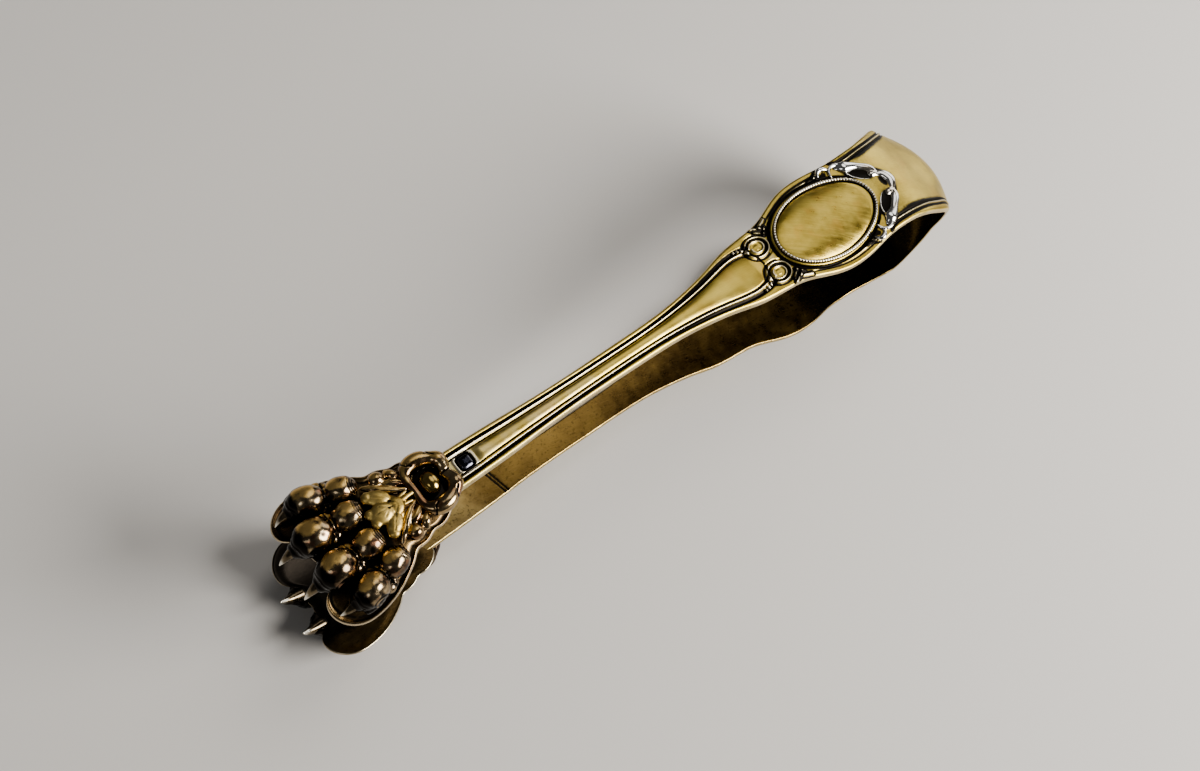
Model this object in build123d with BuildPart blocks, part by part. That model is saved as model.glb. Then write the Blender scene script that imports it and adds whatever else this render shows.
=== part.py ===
from build123d import *
import math
import os

os.makedirs("parts", exist_ok=True)

# Ice tongs: a U-shaped bow spring, two mirrored arms with a cast lion's paw soldered to the end of each.
# The tongs lie on the lower arm. X runs from the bow to the claws, Y across the arms, Z up.
# The origin is under the middle of the tongs, on the surface that they lie on.

# ---------------------------------------------------------------- driving dimensions, mm
MID = 16.968        # height of the mirror plane between the two arms
CROWN_X = -81.055   # X from which distances along the tongs are counted; the crown stands 2.35 before it
SEAM = 10.0         # distance from the crown to the seam between bow and arm
SEAM_GAP = 0.25     # running clearance left at that seam
STRIP_T = 1.35      # thickness of the silver strip
COLLAR_X = 138.9    # middle of the scroll collar, from the crown
SHELL_T = 1.1       # thickness of the paw's shell plate
CLAW_BASE_R = 1.55  # a claw's radius where it leaves the toe
CLAW_TIP_R = 0.22

# the crowned bow, from the crown to the seam: distance from the crown's datum and height of the strip's edge,
# how far the middle stands out over that edge, and the half width
BOW = [(3.95, 0.0, 6.3, 11.6), (4.19, 2.6, 6.05, 11.75), (4.80, 5.0, 5.45, 11.9), (5.77, 7.2, 4.5, 12.0),
       (6.91, 9.0, 3.45, 12.1), (8.31, 10.55, 2.3, 12.2)]
# what is left of the crown on the shoulder of the arm: distance, how far the middle stands out
SHOULDER = [(10.0, 1.25), (12.5, 1.0), (15.0, 0.85), (18.0, 0.7), (21.0, 0.6), (24.0, 0.5), (27.0, 0.4), (30.0, 0.28), (34.0, 0.12)]
# outer edge line of the upper arm: distance, height over the mirror plane
ARM_LINE = [(10.0, 11.95), (12.5, 13.0), (15.0, 13.95), (18.0, 14.85), (21.0, 15.4), (24.0, 15.65), (27.0, 15.6),
            (30.0, 15.25), (33.0, 14.75), (36.0, 14.3), (40.0, 14.0), (46.0, 13.9), (55.0, 13.9), (65.0, 13.7),
            (80.0, 13.45), (100.0, 13.4), (120.0, 13.15), (140.5, 13.0)]
# half width of the strip
ARM_WIDTH = [(10.0, 12.2), (14.0, 11.55), (18.0, 10.85), (22.0, 10.3), (26.0, 10.1), (30.0, 10.1), (33.0, 10.4),
             (36.0, 10.8), (40.0, 11.0), (44.0, 10.7), (48.0, 9.7), (52.0, 8.3), (55.0, 7.5), (58.0, 7.15),
             (62.0, 6.85), (66.0, 6.35), (71.0, 5.2), (78.0, 3.95), (85.0, 3.2), (92.0, 2.95), (100.0, 2.85),
             (110.0, 2.8), (117.0, 2.95), (124.0, 3.25), (130.0, 3.4), (140.5, 3.6)]

# oval cartouche
OVAL_X, OVAL_A, OVAL_B = 41.3, 12.95, 7.55
RING_W = 0.75
# crest of scroll lobes on the bow side of the oval: centre x, y, radius x, radius y, turn in degrees
CREST = [(21.3, 0.0, 1.3, 2.6, 0.0), (24.2, 3.9, 1.35, 2.9, 51.0), (28.4, 7.2, 1.3, 2.6, 51.0), (31.4, 8.7, 0.9, 1.7, 20.0)]
# paw shell: outline from the collar to the front, and the arch of its middle line
SHELL_OUT = [(138.0, 4.3), (141.0, 6.2), (144.0, 7.2), (147.0, 8.2), (150.0, 9.7), (153.0, 10.9), (156.0, 11.5),
             (159.0, 11.3), (161.2, 10.0), (162.4, 7.8), (162.9, 5.2)]
SHELL_LINE = [(138.0, 12.7), (144.0, 13.3), (150.0, 13.7), (155.0, 13.5), (159.5, 12.7), (164.0, 11.3)]
SHELL_R = 27.0
# toes: knuckle bulbs from back to front (x, y, z over the mirror plane, radius), then the claw (x, y, z) base and tip
TOE_INNER = dict(bulbs=[(152.7, 2.45, 14.1, 2.35), (159.0, 3.1, 13.9, 3.02)], claw=[(160.4, 3.15, 12.9), (162.8, 3.2, 11.6), (164.3, 3.25, 9.9)])
TOE_OUTER = dict(bulbs=[(150.9, 6.95, 13.3, 2.3), (156.4, 8.6, 13.1, 2.85)], claw=[(157.6, 8.7, 12.3), (160.0, 8.5, 11.6), (161.8, 8.3, 10.3)])


def px(x):
    return CROWN_X + x


def interp(table, x):
    for (x0, y0), (x1, y1) in zip(table, table[1:]):
        if x <= x1:
            return y0 + (y1 - y0) * (x - x0) / (x1 - x0)
    return table[-1][1]


def at(table, lift=0.0):
    return [(px(x), MID + z + lift) for x, z in table]


def band(lift_low, lift_high, x0, x1, table=ARM_LINE):
    """Edges of the side profile between two lines parallel to the arm's outer face, from x0 to x1."""
    xs = [x0] + [x for x, _ in table if x0 < x < x1] + [x1]
    with BuildLine() as edge:
        low = Spline(*[(px(x), MID + interp(table, x) + lift_low) for x in xs])
        high = Spline(*[(px(x), MID + interp(table, x) + lift_high) for x in xs])
        Line(low @ 0, high @ 0)
        Line(low @ 1, high @ 1)
    return edge.edges()


def strip_section(w, dome):
    """Section of the crowned strip: its middle stands out over its edges by dome."""
    with BuildLine() as edge:
        top = ThreePointArc((-w, 0), (0, dome), (w, 0))
        low = ThreePointArc((-w, -STRIP_T), (0, dome - STRIP_T), (w, -STRIP_T))
        Line(top @ 0, low @ 0)
        Line(top @ 1, low @ 1)
    return edge.edges()


# ---------------------------------------------------------------- bow spring
# stations round the U, from the lower seam over the crown to the upper seam; the last plane at each seam is square to X
seam_z = interp(ARM_LINE, SEAM) - 0.1
half = [(x, z, a, w) for x, z, a, w in BOW] + [(SEAM - SEAM_GAP, seam_z, SHOULDER[0][1], 12.2)]
stations = [(x, -z, a, w) for x, z, a, w in reversed(half[1:])] + half
with BuildPart() as bow_spring:
    for i, (x, z, a, w) in enumerate(stations):
        x0, z0 = stations[max(i - 1, 0)][:2]
        x1, z1 = stations[min(i + 1, len(stations) - 1)][:2]
        run = Vector(x1 - x0, 0, z1 - z0)
        if i == 0:
            run = Vector(-1, 0, 0)
        if i == len(stations) - 1:
            run = Vector(1, 0, 0)
        with BuildSketch(Plane(origin=(px(x), 0, MID + z), x_dir=(0, 1, 0), z_dir=run)) as section:
            make_face(strip_section(w, a))
    loft()
bow_spring.part.label = "bow_spring"


# ---------------------------------------------------------------- upper arm strip
with BuildPart() as shoulder:
    for x, a in SHOULDER:
        with BuildSketch(Plane(origin=(px(x), 0, MID + interp(ARM_LINE, x)), x_dir=(0, 1, 0), z_dir=(1, 0, 0))) as section:
            make_face(strip_section(interp(ARM_WIDTH, x), a))
    loft()
with BuildPart() as upper_arm:
    with BuildSketch(Plane.XZ) as side:
        make_face(band(-STRIP_T, 0.0, 33.6, 140.5))
    extrude(amount=15, both=True)
    with BuildSketch(Plane.XY) as plan:
        with BuildLine():
            table = [(px(x), w) for x, w in ARM_WIDTH if x > 26]
            right = Spline(*table)
            left = Spline(*[(x, -w) for x, w in table])
            Line(right @ 0, left @ 0)
            Line(right @ 1, left @ 1)
        make_face()
    extrude(amount=3 * MID, mode=Mode.INTERSECT)
    add(shoulder.part)
upper_arm.part.label = "upper_arm"

# drop panel: the raised teardrop between the thread borders, struck in the strip
with BuildPart() as drop_panel:
    with BuildSketch(Plane.XZ) as side:
        make_face(band(-0.3, 0.5, 61.0, 129.5))
    extrude(amount=15, both=True)
    with BuildSketch(Plane.XY) as plan:
        with BuildLine():
            right = Spline((px(61.0), 2.3), (px(63.0), 3.5), (px(66.0), 3.9), (px(71.0), 3.2), (px(79.0), 2.1),
                           (px(88.0), 1.35), (px(100.0), 1.1), (px(129.5), 1.3))
            left = Spline((px(61.0), -2.3), (px(63.0), -3.5), (px(66.0), -3.9), (px(71.0), -3.2), (px(79.0), -2.1),
                          (px(88.0), -1.35), (px(100.0), -1.1), (px(129.5), -1.3))
            Line(right @ 0, left @ 0)
            Line(right @ 1, left @ 1)
        make_face()
    extrude(amount=3 * MID, mode=Mode.INTERSECT)

# ---------------------------------------------------------------- oval cartouche with its bead ring
with BuildPart() as upper_cartouche:
    with BuildSketch(Plane.XZ) as side:
        xs = [OVAL_X - OVAL_A - 1.5 + i * (2 * OVAL_A + 3.0) / 8 for i in range(9)]
        with BuildLine():
            low = Spline(*[(px(x), MID + interp(ARM_LINE, x) - 0.3) for x in xs])
            high = Spline(*[(px(x), MID + interp(ARM_LINE, x) + 0.35 + 1.15 * (1 - ((x - OVAL_X) / (OVAL_A + 1.5)) ** 2)) for x in xs])
            Line(low @ 0, high @ 0)
            Line(low @ 1, high @ 1)
        make_face()
    extrude(amount=15, both=True)
    with BuildSketch(Plane.XY) as plan:
        with Locations((px(OVAL_X), 0)):
            Ellipse(OVAL_A, OVAL_B)
    extrude(amount=3 * MID, mode=Mode.INTERSECT)
with BuildPart() as upper_bead_ring:
    with BuildSketch(Plane.XZ) as side:
        make_face(band(-0.3, 0.75, OVAL_X - OVAL_A - 3, OVAL_X + OVAL_A + 3))
    extrude(amount=15, both=True)
    with BuildSketch(Plane.XY) as plan:
        with Locations((px(OVAL_X), 0)):
            Ellipse(OVAL_A + RING_W + 0.1, OVAL_B + RING_W + 0.1)
            Ellipse(OVAL_A + 0.1, OVAL_B + 0.1, mode=Mode.SUBTRACT)
    extrude(amount=3 * MID, mode=Mode.INTERSECT)

# ---------------------------------------------------------------- crest of scroll lobes
with BuildPart() as upper_crest:
    with BuildSketch(Plane.XZ) as side:
        make_face(band(-0.3, 1.3, 18.0, 34.0))
    extrude(amount=15, both=True)
    with BuildSketch(Plane.XY) as plan:
        for s in (1, -1):
            for cx, cy, rx, ry, turn in (CREST if s > 0 else CREST[1:]):
                with Locations(Location((px(cx), s * cy, 0), (0, 0, -s * turn))):
                    Ellipse(rx, ry)
    extrude(amount=3 * MID, mode=Mode.INTERSECT)

# ---------------------------------------------------------------- square stud near the end of the arm
with BuildPart() as upper_stud:
    with BuildSketch(Plane.XY.offset(MID + 12.6)) as base:
        with Locations((px(132.2), 0)):
            RectangleRounded(3.0, 3.0, 0.8)
    extrude(amount=1.35)
    chamfer(upper_stud.faces().sort_by(Axis.Z)[-1].edges(), length=0.3)

# ---------------------------------------------------------------- scroll collar and its oval bead
with BuildPart() as upper_collar:
    with BuildSketch(Plane.XY.offset(MID + 12.8)) as base:
        with Locations((px(COLLAR_X), 0)):
            Ellipse(3.9, 5.3)
            Ellipse(2.1, 3.1, mode=Mode.SUBTRACT)
    extrude(amount=2.9)
    fillet(upper_collar.faces().sort_by(Axis.Z)[-1].edges(), radius=0.7)
with BuildPart() as upper_collar_bead:
    with BuildSketch(Plane.XY.offset(MID + 12.9)) as base:
        with Locations((px(COLLAR_X), 0)):
            Ellipse(1.5, 2.2)
    extrude(amount=3.0)
    fillet(upper_collar_bead.faces().sort_by(Axis.Z)[-1].edges(), radius=0.8)

# ---------------------------------------------------------------- vine leaf over the roots of the toes
with BuildPart() as upper_leaf:
    with BuildSketch(Plane.XY.offset(MID + 15.05)) as base:
        for cx, cy, rx, ry in ((145.6, 0.0, 3.3, 1.7), (148.0, 0.0, 2.5, 1.5), (146.7, 2.4, 1.9, 1.6), (146.7, -2.4, 1.9, 1.6)):
            with Locations((px(cx), cy)):
                Ellipse(rx, ry)
    extrude(amount=1.1)
    chamfer(upper_leaf.faces().sort_by(Axis.Z)[-1].edges(), length=0.25)
with BuildPart() as upper_side_leaves:
    with BuildSketch(Plane.XY.offset(MID + 12.6)) as base:
        for s in (1, -1):
            with Locations(Location((px(144.4), s * 4.9, 0), (0, 0, s * 28))):
                Ellipse(2.9, 1.25)
            with Locations((px(147.6), s * 6.4)):
                Circle(1.15)
    extrude(amount=2.3)

# ---------------------------------------------------------------- shell plate of the paw, a scoop that opens inward
with BuildPart() as upper_shell:
    with BuildLine() as path:
        Spline(*[(px(x), 0, MID + z) for x, z in SHELL_LINE])
    start = Plane(origin=path.line @ 0, x_dir=(0, 1, 0), z_dir=path.line % 0)
    with BuildSketch(start) as section:
        # arched band: the middle stands out, the sides curve inward
        with BuildLine():
            a_out = ThreePointArc((-13, -(SHELL_R - math.sqrt(SHELL_R ** 2 - 169))), (0, 0), (13, -(SHELL_R - math.sqrt(SHELL_R ** 2 - 169))))
            a_in = ThreePointArc((-13, -(SHELL_R - math.sqrt(SHELL_R ** 2 - 169)) - SHELL_T), (0, -SHELL_T), (13, -(SHELL_R - math.sqrt(SHELL_R ** 2 - 169)) - SHELL_T))
            Line(a_out @ 0, a_in @ 0)
            Line(a_out @ 1, a_in @ 1)
        make_face()
    sweep(path=path.line)
    with BuildSketch(Plane.XY) as plan:
        with BuildLine():
            right = Spline(*[(px(x), w) for x, w in SHELL_OUT])
            left = Spline(*[(px(x), -w) for x, w in SHELL_OUT])
            Line(right @ 0, left @ 0)
            Line(right @ 1, left @ 1)
        make_face()
    extrude(amount=3 * MID, mode=Mode.INTERSECT)


# the space inside the scoop, up to the middle of the shell's thickness
with BuildPart() as paw_hollow:
    with BuildLine() as path:
        Spline(*[(px(x), 0, MID + z) for x, z in SHELL_LINE])
    start = Plane(origin=path.line @ 0, x_dir=(0, 1, 0), z_dir=path.line % 0)
    with BuildSketch(start) as section:
        with BuildLine():
            sag = SHELL_R - math.sqrt(SHELL_R ** 2 - 169)
            roof = ThreePointArc((-13, -sag - SHELL_T * 0.5), (0, -SHELL_T * 0.5), (13, -sag - SHELL_T * 0.5))
            Polyline(roof @ 1, (13, -12), (-13, -12), roof @ 0)
        make_face()
    sweep(path=path.line)


# ---------------------------------------------------------------- toes and claws
def make_toe(spec, side):
    (x0, y0, z0, r0), (x1, y1, z1, r1) = spec["bulbs"]
    back = Vector(px(x0), side * y0, MID + z0)
    front = Vector(px(x1), side * y1, MID + z1)
    run = front - back
    length = run.length
    across = run.cross(Vector(0, 0, 1))
    # two knuckle bulbs and the waist between them, turned about the line through their middles
    with BuildPart() as toe:
        with BuildSketch(Plane(origin=back, x_dir=run, z_dir=across)) as half:
            with BuildLine():
                rear = ThreePointArc((-r0, 0), (-r0 * 0.6, r0 * 0.8), (r0 * 0.6, r0 * 0.8))
                tip = ThreePointArc((length - r1 * 0.6, r1 * 0.8), (length + r1 * 0.6, r1 * 0.8), (length + r1, 0))
                Line(rear @ 1, tip @ 0)
                Line(rear @ 0, tip @ 1)
            make_face()
        revolve(axis=Axis(back, run))
        # the casting is hollow-backed: nothing of the toe reaches through the shell
        add(paw_hollow.part, mode=Mode.SUBTRACT)
    return toe


def make_claw(spec, side):
    (x0, y0, z0), (x1, y1, z1), (x2, y2, z2) = spec["claw"]
    base, mid, tip = [Vector(px(x), side * y, MID + z) for x, y, z in ((x0, y0, z0), (x1, y1, z1), (x2, y2, z2))]
    with BuildPart() as claw:
        with BuildSketch(Plane(origin=base, z_dir=mid - base)) as s0:
            Circle(CLAW_BASE_R)
        with BuildSketch(Plane(origin=mid, z_dir=tip - base)) as s1:
            Circle(CLAW_BASE_R * 0.62)
        with BuildSketch(Plane(origin=tip, z_dir=tip - mid)) as s2:
            Circle(CLAW_TIP_R)
        loft()
    return claw


toe_1 = make_toe(TOE_OUTER, -1)
toe_2 = make_toe(TOE_INNER, -1)
toe_3 = make_toe(TOE_INNER, 1)
toe_4 = make_toe(TOE_OUTER, 1)
claw_parts = [make_claw(TOE_OUTER, -1), make_claw(TOE_INNER, -1), make_claw(TOE_INNER, 1), make_claw(TOE_OUTER, 1)]
with BuildPart() as upper_claws:
    for c in claw_parts:
        add(c.part)

# the drop panel is struck in the strip, so it is one solid with the arm
with BuildPart() as upper_arm_full:
    add(upper_arm.part)
    add(drop_panel.part)

upper = {
    "arm": upper_arm_full.part,
    "cartouche": upper_cartouche.part,
    "bead_ring": upper_bead_ring.part,
    "crest": upper_crest.part,
    "stud": upper_stud.part,
    "collar": upper_collar.part,
    "collar_bead": upper_collar_bead.part,
    "vine_leaf": upper_leaf.part,
    "side_leaves": upper_side_leaves.part,
    "paw_shell": upper_shell.part,
    "toe_1": toe_1.part,
    "toe_2": toe_2.part,
    "toe_3": toe_3.part,
    "toe_4": toe_4.part,
    "claws": upper_claws.part,
}

export_step(bow_spring.part, "parts/bow_spring.step")
for name, solid in upper.items():
    # the lower arm is the upper arm mirrored in the plane between them
    solid.label = "upper_" + name
    export_step(solid, "parts/upper_" + name + ".step")
    with BuildPart() as twin:
        add(mirror(solid, about=Plane.XY.offset(MID), mode=Mode.PRIVATE))
    twin.part.label = "lower_" + name
    export_step(twin.part, "parts/lower_" + name + ".step")
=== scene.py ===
import math

import bpy
import numpy as np
from mathutils import Matrix, Vector


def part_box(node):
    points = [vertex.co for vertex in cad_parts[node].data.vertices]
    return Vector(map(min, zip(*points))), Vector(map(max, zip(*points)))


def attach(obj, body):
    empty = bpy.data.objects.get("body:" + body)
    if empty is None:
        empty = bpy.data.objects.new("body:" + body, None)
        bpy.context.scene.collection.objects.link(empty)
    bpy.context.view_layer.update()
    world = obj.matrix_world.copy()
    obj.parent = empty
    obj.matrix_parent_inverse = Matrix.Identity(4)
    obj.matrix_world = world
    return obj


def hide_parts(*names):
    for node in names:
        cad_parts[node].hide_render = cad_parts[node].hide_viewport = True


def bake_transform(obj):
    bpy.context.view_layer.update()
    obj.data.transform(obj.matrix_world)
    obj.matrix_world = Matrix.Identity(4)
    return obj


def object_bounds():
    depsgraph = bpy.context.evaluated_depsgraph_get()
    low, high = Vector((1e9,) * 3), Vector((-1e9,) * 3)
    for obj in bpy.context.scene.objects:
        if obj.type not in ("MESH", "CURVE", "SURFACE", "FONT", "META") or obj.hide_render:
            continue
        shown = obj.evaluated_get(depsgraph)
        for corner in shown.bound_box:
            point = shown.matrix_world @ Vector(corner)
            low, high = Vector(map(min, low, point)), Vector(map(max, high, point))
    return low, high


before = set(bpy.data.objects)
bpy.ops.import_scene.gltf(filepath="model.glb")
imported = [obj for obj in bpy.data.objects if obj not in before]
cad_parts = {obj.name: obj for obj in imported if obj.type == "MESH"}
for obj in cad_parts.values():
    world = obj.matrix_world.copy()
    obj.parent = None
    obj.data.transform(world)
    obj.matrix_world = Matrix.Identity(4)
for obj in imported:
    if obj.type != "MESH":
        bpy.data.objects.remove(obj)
cad_lo, cad_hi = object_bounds()

# ------------------------------------------------------------------ the frame, in mm
bow_lo, bow_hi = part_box("bow_spring")
MID = (bow_lo[2] + bow_hi[2]) * 500.0          # height of the mirror plane between the arms
X0 = cad_lo[0] * 1000.0 + 2.35                 # X from which the tables below count
STRIP_T = 1.35

EDGE = [(3.95, 0), (4.19, 2.6), (4.80, 5.0), (5.77, 7.2), (6.91, 9.0), (8.31, 10.55), (10, 11.95), (12.5, 13.0), (15, 13.95),
        (18, 14.85), (21, 15.4), (24, 15.65), (27, 15.6), (30, 15.25), (33, 14.75), (36, 14.3), (40, 14.0), (46, 13.9),
        (55, 13.9), (65, 13.7), (80, 13.45), (100, 13.4), (120, 13.15), (140.5, 13.0)]
WIDTH = [(3.95, 11.6), (4.19, 11.75), (4.80, 11.9), (5.77, 12.0), (6.91, 12.1), (8.31, 12.2), (10, 12.2), (14, 11.55), (18, 10.85), (22, 10.3), (26, 10.1), (30, 10.1),
         (33, 10.4), (36, 10.8), (40, 11.0), (44, 10.7), (48, 9.7), (52, 8.3), (55, 7.5), (58, 7.15), (62, 6.85),
         (66, 6.35), (71, 5.2), (78, 3.95), (85, 3.2), (92, 2.95), (100, 2.85), (110, 2.8), (117, 2.95), (124, 3.25),
         (130, 3.4), (140.5, 3.6)]
# how far the middle of the outer face stands over its edges, along the strip
DOME = [(3.95, 6.3), (4.19, 6.05), (4.80, 5.45), (5.77, 4.5), (6.91, 3.45), (8.31, 2.3), (10, 1.25), (12.5, 1.0), (15, 0.85), (18, 0.7),
        (21, 0.6), (24, 0.5), (27, 0.4), (30, 0.28), (34, 0.12), (40, 0.05), (50, 0.0), (140.5, 0.0)]
SHELL_LINE = [(138, 12.7), (144, 13.3), (150, 13.7), (155, 13.5), (159.5, 12.7), (164, 11.3)]


def spline(xs, ys):
    """Natural cubic spline through the points; returns a function."""
    xs, ys = np.asarray(xs, float), np.asarray(ys, float)
    n = len(xs)
    h = np.diff(xs)
    a = np.zeros((n, n))
    b = np.zeros(n)
    a[0, 0] = a[-1, -1] = 1
    for i in range(1, n - 1):
        a[i, i - 1], a[i, i], a[i, i + 1] = h[i - 1], 2 * (h[i - 1] + h[i]), h[i]
        b[i] = 6 * ((ys[i + 1] - ys[i]) / h[i] - (ys[i] - ys[i - 1]) / h[i - 1])
    m = np.linalg.solve(a, b)

    def f(x):
        x = np.asarray(x, float)
        i = np.clip(np.searchsorted(xs, x) - 1, 0, n - 2)
        t0, t1 = xs[i + 1] - x, x - xs[i]
        return ((m[i] * t0 ** 3 + m[i + 1] * t1 ** 3) / (6 * h[i])
                + (ys[i] / h[i] - m[i] * h[i] / 6) * t0 + (ys[i + 1] / h[i] - m[i + 1] * h[i] / 6) * t1)
    return f


edge_pts = [(x, -z) for x, z in reversed(EDGE[1:])] + EDGE
edge_s = np.concatenate([[0], np.cumsum([math.dist(p, q) for p, q in zip(edge_pts, edge_pts[1:])])])
edge_s -= edge_s[len(EDGE) - 1]
fx = spline(edge_s, [p[0] for p in edge_pts])
fz = spline(edge_s, [p[1] for p in edge_pts])
edge_x = [p[0] for p in EDGE]
edge_half = edge_s[len(EDGE) - 1:]


def along(table):
    """A table over x turned into a smooth function of the length along the strip."""
    at = np.interp([p[0] for p in table], edge_x, edge_half)
    full = np.concatenate([-at[:0:-1], at])
    val = [p[1] for p in table]
    return spline(full, val[:0:-1] + val)


fw = along(WIDTH)
fd = along(DOME)
line_z = spline([p[0] for p in EDGE[6:]], [p[1] for p in EDGE[6:]])   # the arm's outer edge line over x
shell_z = spline([p[0] for p in SHELL_LINE], [p[1] for p in SHELL_LINE])


def place(v, side):
    """(x from the crown, y, z over the mirror plane) in mm to the CAD frame in metres."""
    v = np.asarray(v, float)
    return np.stack([v[:, 0] + X0, v[:, 1], MID + side * v[:, 2]], 1) / 1000.0


def gauss(d, s):
    return np.exp(-(d / s) ** 2)


def smooth(e0, e1, x):
    t = np.clip((x - e0) / (e1 - e0), 0, 1)
    return t * t * (3 - 2 * t)


def window(x, x0, x1, f=1.5):
    return smooth(x0, x0 + f, x) * (1 - smooth(x1 - f, x1, x))


def dist_poly(x, y, pts, reach=3.0):
    """Distance to a polyline; far points get a large number."""
    out = np.full(x.shape, 99.0)
    p = np.asarray(pts, float)
    near = (x > p[:, 0].min() - reach) & (x < p[:, 0].max() + reach) & (y > p[:, 1].min() - reach) & (y < p[:, 1].max() + reach)
    xn, yn = x[near], y[near]
    best = np.full(xn.shape, 99.0)
    for (ax, ay), (bx, by) in zip(p, p[1:]):
        dx, dy = bx - ax, by - ay
        t = np.clip(((xn - ax) * dx + (yn - ay) * dy) / (dx * dx + dy * dy), 0, 1)
        best = np.minimum(best, np.hypot(xn - ax - t * dx, yn - ay - t * dy))
    out[near] = best
    return out


def curve_pts(pts, n=60):
    """A smooth polyline through a few points."""
    p = np.asarray(pts, float)
    s = np.concatenate([[0], np.cumsum(np.linalg.norm(np.diff(p, axis=0), axis=1))])
    t = np.linspace(0, s[-1], n)
    return np.stack([spline(s, p[:, k])(t) for k in range(p.shape[1])], 1)


# ------------------------------------------------------------------ mesh helpers
def build_mesh(name, v, polys_quads, extra=(), attrs=None, mats=(), mat_index=None, side=1):
    """v in CAD metres; quads an n x 4 array; extra a list of polygons. Mirrored pieces get their faces turned over."""
    q = np.asarray(polys_quads, np.int64).reshape(-1, 4)
    extra = [list(e) for e in extra]
    if side < 0:
        q = q[:, ::-1]
        extra = [e[::-1] for e in extra]
    me = bpy.data.meshes.new(name)
    me.vertices.add(len(v))
    me.vertices.foreach_set("co", np.asarray(v, np.float32).ravel())
    flat = np.concatenate([q.ravel()] + [np.asarray(e, np.int64) for e in extra]) if extra else q.ravel()
    lens = np.concatenate([np.full(len(q), 4), np.array([len(e) for e in extra], np.int64)]) if extra else np.full(len(q), 4)
    starts = np.concatenate([[0], np.cumsum(lens)[:-1]])
    me.loops.add(len(flat))
    me.loops.foreach_set("vertex_index", flat.astype(np.int32))
    me.polygons.add(len(lens))
    me.polygons.foreach_set("loop_start", starts.astype(np.int32))
    me.polygons.foreach_set("use_smooth", np.ones(len(lens), bool))
    for m in mats:
        me.materials.append(m)
    if mat_index is not None:
        me.polygons.foreach_set("material_index", np.asarray(mat_index, np.int32))
    me.update(calc_edges=True)
    for key, val in (attrs or {}).items():
        a = me.attributes.new(key, "FLOAT", "POINT")
        a.data.foreach_set("value", np.asarray(val, np.float32))
    ob = bpy.data.objects.new(name, me)
    bpy.context.scene.collection.objects.link(ob)
    return ob


def add_painted_shade(ob, side, f):
    """Add painted shade to the dark attribute where f(x, y, z) says so, in the tables' own coordinates."""
    me = ob.data
    n = len(me.vertices)
    co = np.zeros(n * 3)
    me.vertices.foreach_get("co", co)
    co = co.reshape(-1, 3) * 1000
    d = np.zeros(n)
    at = me.attributes["dark"]
    at.data.foreach_get("value", d)
    d = np.clip(d + f(co[:, 0] - X0, co[:, 1], (co[:, 2] - MID) * side), 0, 1.2)
    at.data.foreach_set("value", d.astype(np.float32))


def ellipsoid(c, r, turn=0.0, tilt=0.0, n=24):
    """A closed ellipsoid: centre, radii, turned about z then tilted about y. Returns vertices and polygons."""
    th = np.linspace(0, math.pi, n // 2 + 1)[1:-1]
    ph = np.linspace(0, 2 * math.pi, n, endpoint=False)
    v = [(0, 0, 1)]
    for t in th:
        for p in ph:
            v.append((math.sin(t) * math.cos(p), math.sin(t) * math.sin(p), math.cos(t)))
    v.append((0, 0, -1))
    v = np.array(v) * np.array(r)
    ct, st = math.cos(math.radians(tilt)), math.sin(math.radians(tilt))
    v = np.stack([v[:, 0] * ct + v[:, 2] * st, v[:, 1], -v[:, 0] * st + v[:, 2] * ct], 1)
    ca, sa = math.cos(math.radians(turn)), math.sin(math.radians(turn))
    v = np.stack([v[:, 0] * ca - v[:, 1] * sa, v[:, 0] * sa + v[:, 1] * ca, v[:, 2]], 1) + np.array(c)
    rows = len(th)
    f = []
    for j in range(n):
        k = (j + 1) % n
        f.append((0, 1 + j, 1 + k))
        for i in range(rows - 1):
            f.append((1 + i * n + j, 1 + (i + 1) * n + j, 1 + (i + 1) * n + k, 1 + i * n + k))
        f.append((1 + (rows - 1) * n + j, len(v) - 1, 1 + (rows - 1) * n + k))
    return v, f


def tube(pts, n=14, steps=None, squash=1.0, closed=False):
    """A closed tapered tube through (x, y, z, r) points with round ends."""
    p = np.asarray(pts, float)
    steps = steps or max(8, 6 * len(p))
    if closed:
        p = np.vstack([p, p[:1]])
    c = curve_pts(p, steps)
    xyz, r = c[:, :3], np.maximum(c[:, 3], 0.03)
    if closed:
        xyz, r = xyz[:-1], r[:-1]
        tan = np.roll(xyz, -1, 0) - np.roll(xyz, 1, 0)
    else:
        tan = np.gradient(xyz, axis=0)
    tan /= np.linalg.norm(tan, axis=1)[:, None]
    up = np.array([0, 0, 1.0])
    v, rings = [], []
    if not closed:   # rounded ends
        ends = []
        for sgn, i in ((-1, 0), (1, -1)):
            for a in ((75, 45, 20) if sgn < 0 else (20, 45, 75)):
                ends.append((sgn, xyz[i] + tan[i] * sgn * r[i] * math.sin(math.radians(a)), tan[i], r[i] * math.cos(math.radians(a))))
        seq = [e[1:] for e in ends[:3]] + list(zip(xyz, tan, r)) + [e[1:] for e in ends[3:]]
    else:
        seq = list(zip(xyz, tan, r))
    for c0, t0, r0 in seq:
        sidev = np.cross(up, t0)
        if np.linalg.norm(sidev) < 1e-3:
            sidev = np.array([1.0, 0, 0])
        sidev /= np.linalg.norm(sidev)
        nrm = np.cross(t0, sidev)
        for k in range(n):
            a = 2 * math.pi * k / n
            v.append(c0 + r0 * (math.cos(a) * sidev + math.sin(a) * nrm * squash))
    m = len(seq)
    f = []
    for i in range(m if closed else m - 1):
        i2 = (i + 1) % m
        for k in range(n):
            k2 = (k + 1) % n
            f.append((i * n + k, i * n + k2, i2 * n + k2, i2 * n + k))
    if not closed:
        f.append(tuple(reversed(range(n))))
        f.append(tuple(range((m - 1) * n, m * n)))
    return np.array(v), f


def merge(parts):
    vs, fs, o = [], [], 0
    for v, f in parts:
        vs.append(v)
        fs += [tuple(i + o for i in p) for p in f]
        o += len(v)
    return np.vstack(vs), fs


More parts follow.
